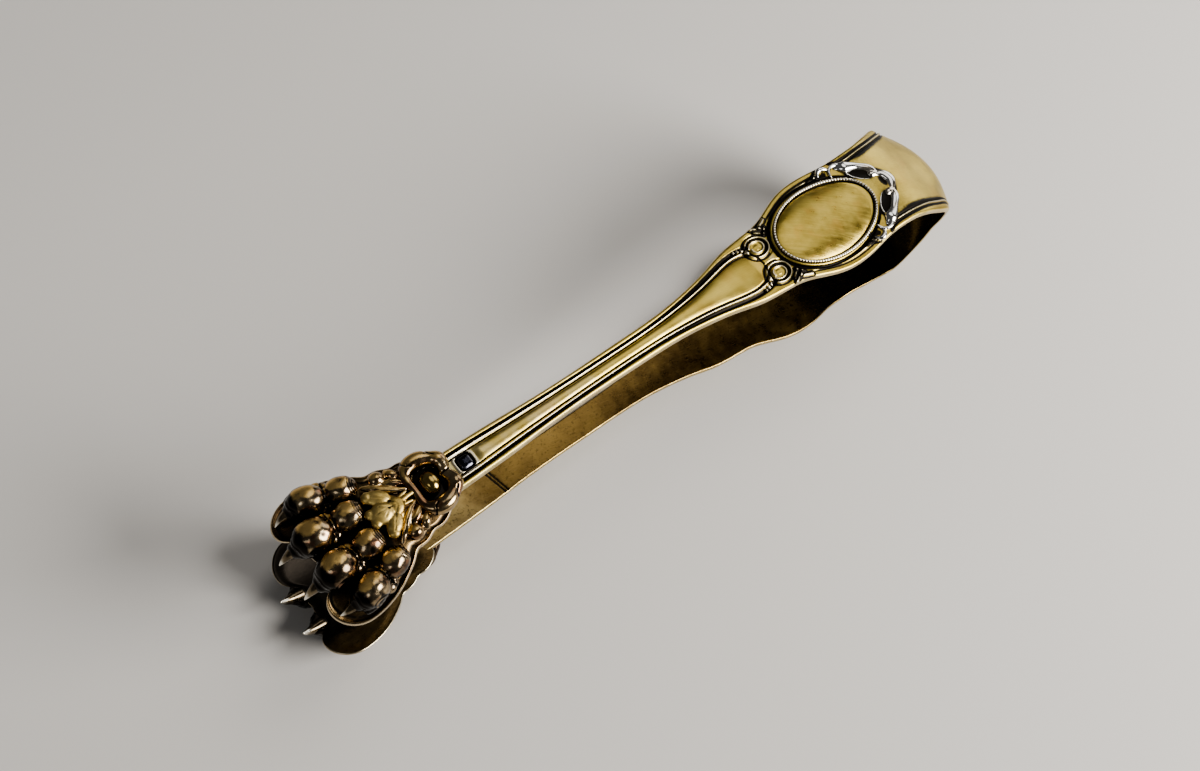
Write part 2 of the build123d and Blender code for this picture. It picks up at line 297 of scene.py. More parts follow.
def plate_z(x, y):
    """Outer face of the paw plate over the mirror plane."""
    return shell_z(np.clip(x, 138, 164)) - y ** 2 / 38.5


def organic(name, parts, side, voxel=0.14, smoothing=6, carve=None, mats=(), painted_underside_shade=0.0, seat=False, top_light_paint=None, cap=None, sole=None):
    """Closed primitives welded by a voxel remesh, smoothed, carved, with a cavity attribute that also carries painted
    shade on the downward faces, and an attribute of painted top light. Parts are in mm.
    """
    v, f = merge(parts)
    me = bpy.data.meshes.new(name + "_raw")
    me.from_pydata([tuple(p) for p in v], [], f)
    raw = bpy.data.objects.new(name + "_raw", me)
    bpy.context.scene.collection.objects.link(raw)
    mod = raw.modifiers.new("weld", "REMESH")
    mod.mode = "VOXEL"
    mod.voxel_size = voxel
    mod.adaptivity = 0
    dg = bpy.context.evaluated_depsgraph_get()
    got = raw.evaluated_get(dg)
    src = bpy.data.meshes.new_from_object(got)
    n = len(src.vertices)
    co = np.zeros(n * 3)
    src.vertices.foreach_get("co", co)
    co = co.reshape(-1, 3)
    e = np.zeros(len(src.edges) * 2, np.int64)
    src.edges.foreach_get("vertices", e)
    e = e.reshape(-1, 2)
    deg = np.maximum(np.bincount(e[:, 0], minlength=n) + np.bincount(e[:, 1], minlength=n), 1)

    def mean(x):
        if x.ndim == 1:
            return (np.bincount(e[:, 0], x[e[:, 1]], n) + np.bincount(e[:, 1], x[e[:, 0]], n)) / deg
        return np.stack([mean(x[:, k]) for k in range(3)], 1)
    for i in range(smoothing):           # smoothing that keeps the volume
        co = co + 0.55 * (mean(co) - co)
        co = co - 0.53 * (mean(co) - co) if i % 2 else co
    if cap is not None:                   # the tops level off below this height
        over = np.maximum(co[:, 2] - (cap - 1.3), 0)
        co[:, 2] = np.minimum(co[:, 2], cap - 1.3) + 1.3 * np.tanh(over / 1.3)
    if sole is not None:                  # and the underside stays inside the strip
        co[:, 2] = np.maximum(co[:, 2], sole(co[:, 0]))
    src.vertices.foreach_set("co", co.astype(np.float32).ravel())
    src.update()
    nr = np.zeros(n * 3)
    src.vertices.foreach_get("normal", nr)
    nr = nr.reshape(-1, 3)
    cut = np.zeros(n)
    if carve is not None:
        cut = carve(co, nr)
        co = co + nr * cut[:, None]
    if seat:                              # nothing comes out through the plate
        low = plate_z(co[:, 0], co[:, 1]) - 0.40
        co[:, 2] = np.maximum(co[:, 2], low + 0.02 * np.clip(co[:, 2] - low, -3, 0))
    base = co
    for _ in range(int(0.55 / voxel) + 2):
        base = mean(base)
    hollow = ((base - co) * nr).sum(1)
    for _ in range(2):
        hollow = mean(hollow)
    dark = np.clip(hollow / 0.10, 0, 1) + np.clip(-cut / 0.12, 0, 1)
    dark += painted_underside_shade * smooth(0.42, -0.15, nr[:, 2])        # painted shade: flanks and undersides that face down get dark colour, below the polished tops
    worn = np.clip(-hollow / 0.12, 0, 1)
    src.vertices.foreach_set("co", place(co, side).astype(np.float32).ravel())
    if side < 0:
        src.flip_normals()
    # painted light: the lit attribute lightens and gilds the faces turned to the top lamp, and takes dark colour away
    # there
    lit = np.zeros(n) if top_light_paint is None else top_light_paint(co, nr)
    dark = dark * (1 - 0.6 * lit)
    for key, val in (("dark", np.clip(dark, 0, 1)), ("worn", worn), ("lit", lit)):
        at = src.attributes.new(key, "FLOAT", "POINT")
        at.data.foreach_set("value", val.astype(np.float32))
    src.polygons.foreach_set("use_smooth", np.ones(len(src.polygons), bool))
    src.name = name
    src.materials.clear()
    for m in mats:
        src.materials.append(m)
    src.update()
    ob = bpy.data.objects.new(name, src)
    bpy.context.scene.collection.objects.link(ob)
    bpy.data.objects.remove(raw, do_unlink=True)
    bpy.data.meshes.remove(me)
    return ob


# ------------------------------------------------------------------ materials
def metal(name, low, high, tarnish_and_shade_col=(0.012, 0.010, 0.008), worn_col=(0.80, 0.77, 0.70), rough=0.28, rough_var=0.1,
          scratch=0.5, scratch_scale=(18, 260, 60), speck=0.0, worn_amount=0.6, dark_amount=1.0, bump=0.06, fine=900,
          patch=90, tint=None, tint_amount=0.0, metallic=1.0, dark_rough=0.4, lit_col=None, lit_rough=0.3, turn=9.0):
    """Gilt or silver with mottled gilding, fine scratches along the arm, oxide in the hollows and worn high edges; the
    dark attribute also brings painted shade, and the lit attribute painted top light.
    """
    m = bpy.data.materials.new(name)
    m.use_nodes = True
    nt = m.node_tree
    N, L = nt.nodes, nt.links
    bsdf = N["Principled BSDF"]
    bsdf.inputs["Metallic"].default_value = metallic
    bsdf.inputs["IOR"].default_value = 1.45

    def node(kind, **kw):
        x = N.new(kind)
        for k, val in kw.items():
            setattr(x, k, val)
        return x

    def math_(op, a, b=None, c=None, clamp=False):
        x = node("ShaderNodeMath", operation=op, use_clamp=clamp)
        for i, val in enumerate((a, b, c)):
            if val is None:
                continue
            if isinstance(val, (int, float)):
                x.inputs[i].default_value = val
            else:
                L.new(val, x.inputs[i])
        return x.outputs[0]

    def mixc(fac, a, b, mode="MIX"):
        x = node("ShaderNodeMix", data_type="RGBA", blend_type=mode)
        for sock, val in ((x.inputs[0], fac), (x.inputs[6], a), (x.inputs[7], b)):
            if isinstance(val, (int, float)):
                sock.default_value = val
            elif isinstance(val, tuple):
                sock.default_value = (*val, 1.0)
            else:
                L.new(val, sock)
        return x.outputs[2]

    def ramp(fac, a, b):
        x = node("ShaderNodeMapRange", clamp=True, interpolation_type="SMOOTHSTEP")
        L.new(fac, x.inputs[0])
        x.inputs[1].default_value, x.inputs[2].default_value = a, b
        return x.outputs[0]

    def noise(vec, scale, detail=4.0, rough_=0.55):
        x = node("ShaderNodeTexNoise")
        x.inputs["Scale"].default_value = scale
        x.inputs["Detail"].default_value = detail
        x.inputs["Roughness"].default_value = rough_
        L.new(vec, x.inputs["Vector"])
        return x.outputs["Fac"]

    co = node("ShaderNodeTexCoord").outputs["Object"]
    turned = node("ShaderNodeMapping")
    turned.inputs["Rotation"].default_value = (0, 0, math.radians(turn))
    L.new(co, turned.inputs["Vector"])
    stretch = node("ShaderNodeMapping")
    stretch.inputs["Scale"].default_value = scratch_scale
    L.new(turned.outputs[0], stretch.inputs["Vector"])
    dark = node("ShaderNodeAttribute", attribute_name="dark").outputs["Fac"]
    worn = node("ShaderNodeAttribute", attribute_name="worn").outputs["Fac"]

    big = noise(co, patch, 3.0)
    mid = noise(co, patch * 5, 4.0)
    tiny = noise(co, fine * 2.2, 3.0, 0.6)
    lines = noise(stretch.outputs[0], 22, 5.0, 0.7)
    base = mixc(ramp(math_("ADD", math_("MULTIPLY", big, 0.7), math_("MULTIPLY", mid, 0.3)), 0.36, 0.66), low, high)
    if tint is not None:
        base = mixc(math_("MULTIPLY", ramp(noise(co, patch * 2.3, 2.0), 0.5, 0.68), tint_amount), base, tint)
    if lit_col is not None:
        lit = node("ShaderNodeAttribute", attribute_name="lit").outputs["Fac"]
        lit = ramp(math_("ADD", lit, math_("MULTIPLY", math_("SUBTRACT", mid, 0.5), 0.9)), 0.25, 0.75)
        base = mixc(lit, base, lit_col)
    base = mixc(math_("MULTIPLY", ramp(lines, 0.5, 0.30), 0.30 * scratch), base, tuple(c * 0.45 for c in low))
    base = mixc(math_("MULTIPLY", ramp(lines, 0.5, 0.72), 0.35 * scratch), base, tuple(min(1.0, c * 1.25 + 0.03) for c in high))
    wear = math_("MULTIPLY", ramp(math_("ADD", worn, math_("MULTIPLY", math_("SUBTRACT", mid, 0.5), 0.5)), 0.25, 0.95), worn_amount)
    base = mixc(wear, base, worn_col)
    if speck:
        base = mixc(math_("MULTIPLY", ramp(tiny, 0.56, 0.66), speck), base, tuple(c * 0.25 for c in low))
    # oxide in the hollows together with painted shade from the dark attribute
    oxide_and_painted_shade = math_("MULTIPLY", ramp(math_("ADD", dark, math_("MULTIPLY", math_("SUBTRACT", tiny, 0.5), 0.35)), 0.18, 0.62), dark_amount)
    base = mixc(oxide_and_painted_shade, base, tarnish_and_shade_col)
    L.new(base, bsdf.inputs["Base Color"])
    r = math_("ADD", math_("MULTIPLY", math_("SUBTRACT", mid, 0.5), rough_var * 2), rough)
    r = math_("ADD", r, math_("MULTIPLY", ramp(lines, 0.45, 0.75), 0.10 * scratch))
    r = math_("ADD", r, math_("MULTIPLY", oxide_and_painted_shade, dark_rough - rough), clamp=True)
    if lit_col is not None:
        r = math_("ADD", r, math_("MULTIPLY", lit, lit_rough - rough), clamp=True)
    L.new(r, bsdf.inputs["Roughness"])
    b1 = node("ShaderNodeBump")
    b1.inputs["Strength"].default_value = 1.0
    b1.inputs["Distance"].default_value = bump / 1000.0
    h = math_("ADD", math_("MULTIPLY", lines, scratch), math_("MULTIPLY", tiny, 0.35 + speck))
    h = math_("ADD", h, math_("MULTIPLY", mid, 0.5))
    L.new(h, b1.inputs["Height"])
    L.new(b1.outputs[0], bsdf.inputs["Normal"])
    return m


GOLD_LO, GOLD_HI = (0.40, 0.29, 0.065), (0.60, 0.465, 0.125)
m_bow = metal("gilt_brushed", GOLD_LO, GOLD_HI, rough=0.33, rough_var=0.07, scratch=0.5, bump=0.012, worn_amount=0.75, patch=70,
              tint=(0.50, 0.31, 0.08), tint_amount=0.35, worn_col=(0.78, 0.72, 0.60))
m_inner = metal("gilt_inner_face", (0.10, 0.060, 0.020), (0.26, 0.17, 0.055), rough=0.30, rough_var=0.12, scratch=0.9, speck=0.5,
                bump=0.02, worn_amount=0.85, patch=60, scratch_scale=(30, 200, 60), dark_rough=0.17, worn_col=(0.68, 0.53, 0.24))
m_under = metal("gilt_plate_inside", (0.09, 0.060, 0.026), (0.28, 0.19, 0.075), rough=0.30, rough_var=0.1, scratch=0.7, speck=0.4, bump=0.02,
                worn_amount=0.85, patch=90, scratch_scale=(60, 120, 60), worn_col=(0.80, 0.72, 0.52))
m_panel = metal("gilt_panel", (0.36, 0.26, 0.055), (0.58, 0.445, 0.115), rough=0.30, rough_var=0.09, scratch=1.0, bump=0.018,
                worn_amount=0.5, patch=110, turn=41.0, scratch_scale=(6, 95, 60), tint=(0.52, 0.31, 0.07), tint_amount=0.45)
m_ring = metal("worn_thread", (0.36, 0.27, 0.14), (0.66, 0.58, 0.42), rough=0.22, scratch=0.2, bump=0.006, worn_amount=0.8)
m_silver = metal("bright_silver", (0.55, 0.51, 0.44), (0.90, 0.88, 0.84), rough=0.13, rough_var=0.04, scratch=0.1, bump=0.003,
                 worn_col=(0.95, 0.94, 0.92), tint=(0.55, 0.40, 0.22), tint_amount=0.4)
m_black = metal("oxidised_stud", (0.010, 0.010, 0.013), (0.04, 0.04, 0.055), rough=0.20, scratch=0.1, bump=0.01, worn_amount=0.35,
                worn_col=(0.35, 0.34, 0.36))
m_cast = metal("cast_silver_gilt", (0.16, 0.10, 0.055), (0.48, 0.36, 0.20), rough=0.17, rough_var=0.06, scratch=0.2, bump=0.016,
               worn_amount=0.55, worn_col=(0.84, 0.79, 0.68), patch=260, tint=(0.26, 0.13, 0.07), tint_amount=0.7,
               lit_col=(0.72, 0.49, 0.19), lit_rough=0.34, dark_rough=0.18)
m_bead = metal("cast_gold_bead", (0.36, 0.25, 0.08), (0.62, 0.46, 0.18), rough=0.16, rough_var=0.05, scratch=0.15, bump=0.006,
               worn_amount=0.4, patch=260)
m_leaf = metal("matt_gilt_leaf", (0.43, 0.300, 0.095), (0.64, 0.47, 0.175), rough=0.40, rough_var=0.08, scratch=0.2, bump=0.012,
               worn_amount=0.35, patch=300)
m_shell = metal("gilt_shell", (0.085, 0.05, 0.022), (0.30, 0.205, 0.095), rough=0.26, rough_var=0.08, scratch=0.5, bump=0.012,
                worn_amount=0.8, patch=120, tint=(0.16, 0.08, 0.04), tint_amount=0.5, scratch_scale=(60, 120, 60),
                worn_col=(0.66, 0.55, 0.38))
m_toe = metal("cast_toe", (0.12, 0.085, 0.055), (0.40, 0.31, 0.19), rough=0.19, rough_var=0.07, scratch=0.2, bump=0.022,
              worn_amount=0.55, worn_col=(0.88, 0.84, 0.74), patch=300, tint=(0.24, 0.12, 0.07), tint_amount=0.7,
              lit_col=(0.78, 0.53, 0.20), lit_rough=0.40, dark_rough=0.18)
m_claw = metal("cast_claw", (0.06, 0.045, 0.03), (0.24, 0.19, 0.12), rough=0.19, scratch=0.2, bump=0.012, worn_amount=1.0, patch=350,
               scratch_scale=(90, 90, 90), worn_col=(0.86, 0.82, 0.72))

# ------------------------------------------------------------------ relief of the strip's outer face
OV_X, OV_A, OV_B = 41.3, 13.0, 7.6
SHOULDER = curve_pts([(2.5, 10.45), (4.2, 10.75), (5.6, 11.0), (7.6, 10.95), (9.5, 10.35), (12.5, 9.8), (16, 9.25), (20, 8.8), (24, 8.5), (28, 8.4), (30.5, 8.6)])
DROP_IN = curve_pts([(59.7, 0.0), (59.85, 1.0), (60.4, 2.0), (61.4, 2.85), (63, 3.4), (65, 3.6), (67.5, 3.4), (70, 3.0), (74, 2.35),
                     (78, 1.85), (82, 1.5), (88, 1.15), (95, 1.02), (105, 1.02), (115, 1.12), (125, 1.32), (131, 1.5), (134.9, 1.55)], 160)
DROP_TH = curve_pts([(60.9, 3.15), (61.6, 3.6), (63, 3.93), (65, 4.08), (67.5, 3.9), (70, 3.5), (74, 2.8), (78, 2.28), (82, 1.9), (88, 1.53),
                     (95, 1.4), (105, 1.42), (115, 1.55), (125, 1.78), (131, 1.97), (134.9, 2.0)], 160)
DROP_OUT = curve_pts([(60.8, 4.35), (62, 4.7), (64, 4.86), (66, 4.8), (69, 4.4), (72, 3.85), (76, 3.15), (80, 2.62), (85, 2.15), (92, 1.86),
                      (100, 1.8), (110, 1.85), (118, 2.02), (126, 2.25), (131, 2.42), (134.9, 2.45)], 160)
drop_in_y = spline(DROP_IN[12:, 0], DROP_IN[12:, 1])
drop_out_y = spline(DROP_OUT[:, 0], DROP_OUT[:, 1])


def oval_dist(x, y, a, b):
    dx = x - OV_X
    f = np.sqrt((dx / a) ** 2 + (y / b) ** 2) + 1e-9
    g = np.sqrt(dx ** 2 / a ** 4 + y ** 2 / b ** 4) / f + 1e-9
    return np.clip((f - 1) / g, -20, 20)


def outer_relief(x, y, w):
    """Height over the edge line, dark mask and worn mask of the outer face."""
    ay = np.abs(y)
    h = np.zeros_like(x)
    dark = np.zeros_like(x)
    worn = np.zeros_like(x)
    from_edge = w - ay
    # shoulder thread between two grooves
    d = dist_poly(x, ay, SHOULDER)
    k = (0.55 + 0.45 * smooth(6.0, 10.0, x)) * (1 - smooth(29.5, 30.6, x))
    h += k * (0.26 * gauss(d, 0.20) - 0.24 * gauss(np.abs(d) - 0.44, 0.17))
    dark += k * gauss(d - 0.52, 0.28) * 1.4
    worn += k * gauss(d, 0.17)
    # oxide lies along the shoulder threads, widest near the bow
    dark += 0.46 * smooth(7.5, 12, x) * (1 - smooth(21, 27, x)) * gauss(d - 1.05, 0.52) * (ay < np.interp(x, SHOULDER[:, 0], SHOULDER[:, 1]))
    # oval: fine line, seat of the ring, groove round it, outer border
    d0 = oval_dist(x, ay, OV_A, OV_B)
    around = (x > 24) & (x < 58)
    crest_gap = smooth(27.8, 31.5, x)          # the crest's lobes cover the bow side
    h -= around * 0.30 * gauss(d0 - 0.05, 0.2)
    h += around * 0.42 * (1 - smooth(0.75, 1.35, d0))
    h -= around * crest_gap * 0.36 * gauss(d0 - 1.32, 0.24)
    dark += around * (0.95 * gauss(d0 - 0.08, 0.2) + crest_gap * 1.1 * gauss(d0 - 1.32, 0.30))
    rim = around * smooth(33, 36, x) * (1 - smooth(50, 53.5, x))
    h += rim * 0.24 * gauss(from_edge - 1.75, 0.24)
    worn += rim * gauss(from_edge - 1.75, 0.22)
    h -= rim * 0.12 * gauss(from_edge - 1.25, 0.16)
    dark += rim * 0.7 * gauss(from_edge - 1.22, 0.16)
    # leaf knots where the oval meets the shoulder and the volutes
    for a, b, amp, s in (((34.0, 9.6), (35.6, 8.9), 0.38, 0.30), ((35.2, 8.6), (37.2, 8.75), 0.34, 0.26),
                         ((52.6, 7.3), (54.9, 6.4), 0.42, 0.36), ((53.6, 6.0), (55.0, 4.7), 0.36, 0.26), ((54.3, 5.7), (56.9, 7.0), 0.42, 0.30),
                         ((55.0, 4.9), (56.6, 6.1), 0.30, 0.22)):
        dk = dist_poly(x, ay, [a, b])
        h += amp * gauss(dk, s)
        worn += gauss(dk, s * 0.75)
        dark += 0.8 * gauss(dk - s * 1.7, 0.18)
    # volutes: a spiral thread around a flat eye
    vx, vy = (x - 58.4) / 2.95, (ay - 3.25) / 2.2
    r = np.hypot(vx, vy)
    phi = (np.arctan2(vy, vx) - 0.35) % (2 * math.pi) / (2 * math.pi)
    near = r < 1.5
    ridge = np.minimum(np.abs(r - (0.99 - 0.04 * phi)), np.abs(r - (0.66 - 0.22 * phi))) * 2.3
    h += near * (0.30 * gauss(ridge, 0.19) - 0.28 * gauss((r - 0.83 + 0.10 * phi) * 2.3, 0.18) - 0.22 * gauss((r - 1.22) * 2.1, 0.20) * (vx > -0.9))
    worn += near * gauss(ridge, 0.16)
    dark += near * (1.1 * gauss((r - 0.83 + 0.10 * phi) * 2.3, 0.22) + 0.8 * gauss((r - 1.20) * 2.1, 0.2) * (vx > -0.6))
    h += near * 0.15 * smooth(0.36, 0.12, r)
    # bright ground between the volutes
    worn += 0.55 * gauss(np.hypot((x - 57.2) / 2.0, ay / 1.9), 0.8)
    # drop panel: line, thread, wide groove narrowing towards the collar
    di, dt, do = dist_poly(x, ay, DROP_IN), dist_poly(x, ay, DROP_TH), dist_poly(x, ay, DROP_OUT)
    end = 1 - smooth(134.3, 135.0, x)
    taper = 1 - 0.45 * smooth(72, 92, x)
    h -= end * 0.22 * gauss(di, 0.19 * taper)
    dark += end * 0.95 * gauss(di, 0.22 * taper)
    h += end * 0.26 * gauss(dt, 0.20)
    worn += end * gauss(dt, 0.19)
    h -= end * 0.34 * gauss(do, 0.36 * taper)
    dark += end * 1.25 * gauss(do, 0.40 * taper)
    inside = (x > 60) & (x < 131) & (ay < drop_in_y(np.clip(x, 61, 134)))
    q = np.clip(ay / np.maximum(drop_in_y(np.clip(x, 61, 134)), 0.2), 0, 1)
    bulge = 0.50 * (1 - q ** 2.2) * smooth(59.9, 63, x) * (1 - smooth(129, 131, x))
    h += inside * bulge * (1 - 0.25 * smooth(75, 95, x))
    # pearls in the groove below each volute
    for cx, cy, rr in ((61.75, 4.42, 0.40), (62.75, 4.70, 0.36), (63.65, 4.86, 0.30)):
        dd = np.hypot(x - cx, ay - cy)
        h += (dd < rr) * (0.30 + 0.35 * np.sqrt(np.clip(rr ** 2 - dd ** 2, 0, 1)) / rr)
        worn += 1.2 * (dd < rr * 0.9)
        dark -= 1.2 * (dd < rr * 0.9)
    # rolled rim of the long arm
    out = np.maximum(from_edge, 0)
    band = smooth(57, 62, x) * (ay > drop_out_y(np.clip(x, 60.8, 134.9)))
    span = np.maximum(w - drop_out_y(np.clip(x, 60.8, 134.9)), 0.3)
    h += band * 0.16 * np.sin(math.pi * np.clip(out / span, 0, 1))
    worn += 0.8 * gauss(out - 0.10, 0.13)
    h -= 0.34 * np.clip(1 - out / 0.55, 0, 1) ** 2
    # square recess of the stud, with a raised lip
    sq = (np.abs((x - 132.35) / 1.5) ** 4 + np.abs(y / 1.42) ** 4) ** 0.25
    h += 0.16 * gauss((sq - 1.12) * 1.45, 0.2)
    worn += gauss((sq - 1.14) * 1.45, 0.2)
    h = np.where(sq < 1.0, h - 0.30 * smooth(1.0, 0.85, sq), h)
    dark += 1.2 * (1 - smooth(0.95, 1.05, sq))
    # black hollows between the crest's outer ridge and inner rim
    for s in (1,):
        dh = dist_poly(x, ay, [(24.9, 3.0), (26.6, 4.1), (28.2, 5.5)])
        dark += 1.5 * gauss(dh, 0.9)
        h -= 0.25 * gauss(dh, 0.9)
        dh = np.hypot((x - 23.1) / 0.9, ay / 1.5)
        dark += 1.5 * gauss(dh, 0.62)
        h -= 0.20 * gauss(dh, 0.6)
    # a painted contact shadow, laid as dark colour, round the crest and beside its end leaves
    dc = dist_poly(x, ay, [(20.0, 0.4), (21.3, 2.0), (23.2, 3.9), (25.6, 6.3), (27.9, 8.3), (30.2, 9.7)])
    dark += 0.8 * gauss(dc, 0.38) * (x > 19)
    dc = dist_poly(x, ay, [(33.0, 8.3), (35.5, 7.5)])
    dark += 0.8 * gauss(dc, 0.5)
    # mottled tarnish on the borders round the oval and along the arm
    border = smooth(12, 24, x) * (1 - smooth(56, 60, x)) * (d0 > 1.0)
    dark += border * 0.25 + 0.17 * (x > 60) * (ay > drop_in_y(np.clip(x, 61, 134)))
    worn += 0.42 * smooth(78, 112, x)
    return h, np.clip(dark, 0, 1.2), np.clip(worn, 0, 1) * np.clip(1 - 0.7 * dark, 0, 1)


def inner_relief(x, y, w, side):
    """Plain inner face, painted dark inside the bow as shade; the lower arm shows a double scored seam across."""
    h = 0.02 * np.sin(x * 0.55 + y * 0.3) + 0.015 * np.sin(x * 1.9 - y * 0.8)
    # painted shade: the inner face darkens towards the inside of the bow
    dark = 0.34 * (1 - smooth(26, 52, x)) + 0.07
    if side < 0:
        sx = 120.4 - 0.22 * (y - 1)
        for o in (-0.34, 0.34):
            h = h - 0.10 * gauss(x - sx - o, 0.13)
            dark = dark + 0.9 * gauss(x - sx - o, 0.17)
    dark = dark + 0.25 * gauss(w - np.abs(y), 0.6)
    return h, dark, 0.8 * gauss(w - np.abs(y) - 0.12, 0.16) * smooth(20, 50, x) + 0.55 * smooth(112, 132, x)


def strip(side):
    name = "upper" if side > 0 else "lower"
    s_end = edge_s[-1]
    s = [0.0]
    while s[-1] < s_end - 0.05:
        x = float(fx(s[-1]))
        step = 0.03 if s[-1] < 0.1 else 0.12 if s[-1] < 0.6 else 0.30 if x < 8.3 else 0.17 if x < 64.5 else 0.24 if x < 128 else 0.16
        s.append(s[-1] + step)
    s = np.minimum(np.array(s), s_end)
    x, z = fx(s), fz(s)
    x = np.where(s <= 0, EDGE[0][0], x)
    z = np.where(s <= 0, 0.0, z)
    tx, tz = np.gradient(fx(s + 0.0)), np.gradient(fz(s))
    tx[0], tz[0] = 0.0, 1.0
    ln = np.hypot(tx, tz)
    nx, nz = -tz / ln, tx / ln
    w = fw(s)
    dome = np.clip(fd(s), 0, 7)
    no, ni = 193, 49

    def crown(Y):
        """Height of the arc through both edges and the crown, at Y across."""
        d = np.maximum(dome, 1e-3)[:, None]
        R = (w[:, None] ** 2 + d ** 2) / (2 * d)
        return np.sqrt(np.maximum(R ** 2 - Y ** 2, 0)) - (R - d)
    t = np.linspace(-1, 1, no)
    X = np.repeat(x[:, None], no, 1)
    W = np.repeat(w[:, None], no, 1)
    Y = (W - 0.22) * t[None, :]
    h, dark, worn = outer_relief(X.ravel(), Y.ravel(), W.ravel())
    H, D, O = h.reshape(X.shape) + crown(Y), dark.reshape(X.shape), worn.reshape(X.shape)
    # relief fades out into the bow so that both halves meet evenly at the crown
    ti = np.linspace(1, -1, ni)
    XI = np.repeat(x[:, None], ni, 1)
    WI = np.repeat(w[:, None], ni, 1)
    YI = (WI - 0.3) * ti[None, :]
    hi, di, oi = inner_relief(XI.ravel(), YI.ravel(), WI.ravel(), side)
    k = smooth(3.0, 14.0, XI)
    HI = -STRIP_T - hi.reshape(XI.shape) * k + crown(YI)
    DI, OI = di.reshape(XI.shape), oi.reshape(XI.shape)
    rim_y = np.array([0.10, 0.015, 0.0, 0.015, 0.12])
    he = H[:, [0, -1]]
    rows_y, rows_h, rows_d, rows_o = [], [], [], []
    rim_f = np.array([0.10, 0.28, 0.5, 0.75, 0.93])
    # ring order: outer face from -y to +y, right rim, inner face from +y to -y, left rim
    ys, hs, ds, os_ = [Y], [H], [D], [O]
    yr = w[:, None] - rim_y[None, :]
    hr = he[:, 1:2] + ((-STRIP_T) - he[:, 1:2]) * rim_f[None, :]
    ys.append(yr); hs.append(hr); ds.append(np.zeros_like(hr)); os_.append(np.full_like(hr, 0.62))
    ys.append(YI); hs.append(HI); ds.append(DI); os_.append(OI)
    hl = he[:, 0:1] + ((-STRIP_T) - he[:, 0:1]) * rim_f[None, ::-1]
    ys.append(-yr[:, ::-1]); hs.append(hl); ds.append(np.zeros_like(hl)); os_.append(np.full_like(hl, 0.62))
    RY, RH, RD, RO = (np.concatenate(a, 1) for a in (ys, hs, ds, os_))
    n = RY.shape[1]
    rows = len(s)
    PX = x[:, None] + nx[:, None] * RH
    PZ = z[:, None] + nz[:, None] * RH
    v = place(np.stack([PX.ravel(), RY.ravel(), PZ.ravel()], 1), side)
    i, j = np.meshgrid(np.arange(rows - 1), np.arange(n), indexing="ij")
    j2 = (j + 1) % n
    quads = np.stack([i * n + j, (i + 1) * n + j, (i + 1) * n + j2, i * n + j2], -1).reshape(-1, 4)
    mi = np.where((j >= no + 3) & (j < no + 5 + ni + 1), 1, 0).ravel()
    extra, emi = [], []
    o_in = no + 5
    for r0, flip in ((0, False), (rows - 1, True)):
        b = r0 * n
        for kk in range(ni - 1):                       # end caps as small strips between outer and inner columns
            a0 = (ni - 1 - kk) * 4
            poly = [b + c for c in range(a0 - 4, a0 + 1)] + [b + o_in + kk, b + o_in + kk + 1]
            extra.append(poly[::-1] if flip else poly)
            emi.append(0)
        right = [b + no - 1] + [b + no + c for c in range(5)] + [b + o_in]
        left = [b + o_in + ni - 1] + [b + o_in + ni + c for c in range(5)] + [b]
        extra.append(right[::-1] if flip else right)
        extra.append(left[::-1] if flip else left)
        emi += [0, 0]
    ob = build_mesh(f"{name}_strip", v, quads, extra, dict(dark=RD.ravel(), worn=RO.ravel()), [m_bow, m_inner],
                    np.concatenate([mi, np.array(emi)]), side)
    # the end caps keep their own flat shading, so that the crown stays smooth across both halves
    me = ob.data
    ne = len(extra)
    sm = np.ones(len(me.polygons), bool)
    sm[-ne:] = False
    me.polygons.foreach_set("use_smooth", sm)
    ev = np.zeros(len(me.edges) * 2, np.int64)
    me.edges.foreach_get("vertices", ev)
    ev = ev.reshape(-1, 2)
    row = ev // n
    sharp = ((row[:, 0] == 0) & (row[:, 1] == 0)) | ((row[:, 0] == rows - 1) & (row[:, 1] == rows - 1))
    at = me.attributes.new("sharp_edge", "BOOLEAN", "EDGE")
    at.data.foreach_set("value", sharp)
    me.update()
    return ob


def oval_panel(side):
    name = "upper" if side > 0 else "lower"
    nr, na = 46, 168
    rr = np.linspace(0, 1, nr + 1)[1:]
    a = np.linspace(0, 2 * math.pi, na, endpoint=False)
    A, B = OV_A - 0.12, OV_B - 0.12

    def surf(r, top):
        x = OV_X + A * r[:, None] * np.cos(a)[None, :]
        y = B * r[:, None] * np.sin(a)[None, :]
        rho = np.repeat(r[:, None], na, 1)
        if top:
            z = line_z(x) + 0.48 + 1.18 * (1 - rho ** 2.4) ** 0.85 - 0.10 * rho ** 8
            z = z + 0.012 * np.sin(x * 0.9 + 1.3) * np.cos(y * 0.8) + 0.010 * np.sin(x * 0.35 - y * 0.6)
        else:
            z = line_z(x) - 0.45 + 0 * rho
        return np.stack([x.ravel(), y.ravel(), z.ravel()], 1), rho.ravel()
    vt, rt = surf(rr, True)
    vb, rb = surf(rr[::-1][::6], False)
    ct = np.array([[OV_X, 0, float(line_z(OV_X)) + 1.66]])
    cb = np.array([[OV_X, 0, float(line_z(OV_X)) - 0.45]])
    v = np.vstack([ct, vt, vb, cb])
    rho = np.concatenate([[0], rt, rb * 0 + 1, [1]])
    rows = nr + len(rr[::-1][::6])
    i, j = np.meshgrid(np.arange(rows - 1), np.arange(na), indexing="ij")
    j2 = (j + 1) % na
    quads = np.stack([1 + i * na + j, 1 + (i + 1) * na + j, 1 + (i + 1) * na + j2, 1 + i * na + j2], -1).reshape(-1, 4)
    extra = [(0, 1 + k, 1 + (k + 1) % na) for k in range(na)]
    last = 1 + (rows - 1) * na
    extra += [(last + (k + 1) % na, last + k, len(v) - 1) for k in range(na)]
    dark = 0.55 * smooth(0.955, 1.0, rho)
    worn = 0.25 * gauss(rho - 0.90, 0.05)
    return build_mesh(f"{name}_oval_panel", place(v, side), quads, extra, dict(dark=dark, worn=worn), [m_panel], None, side)


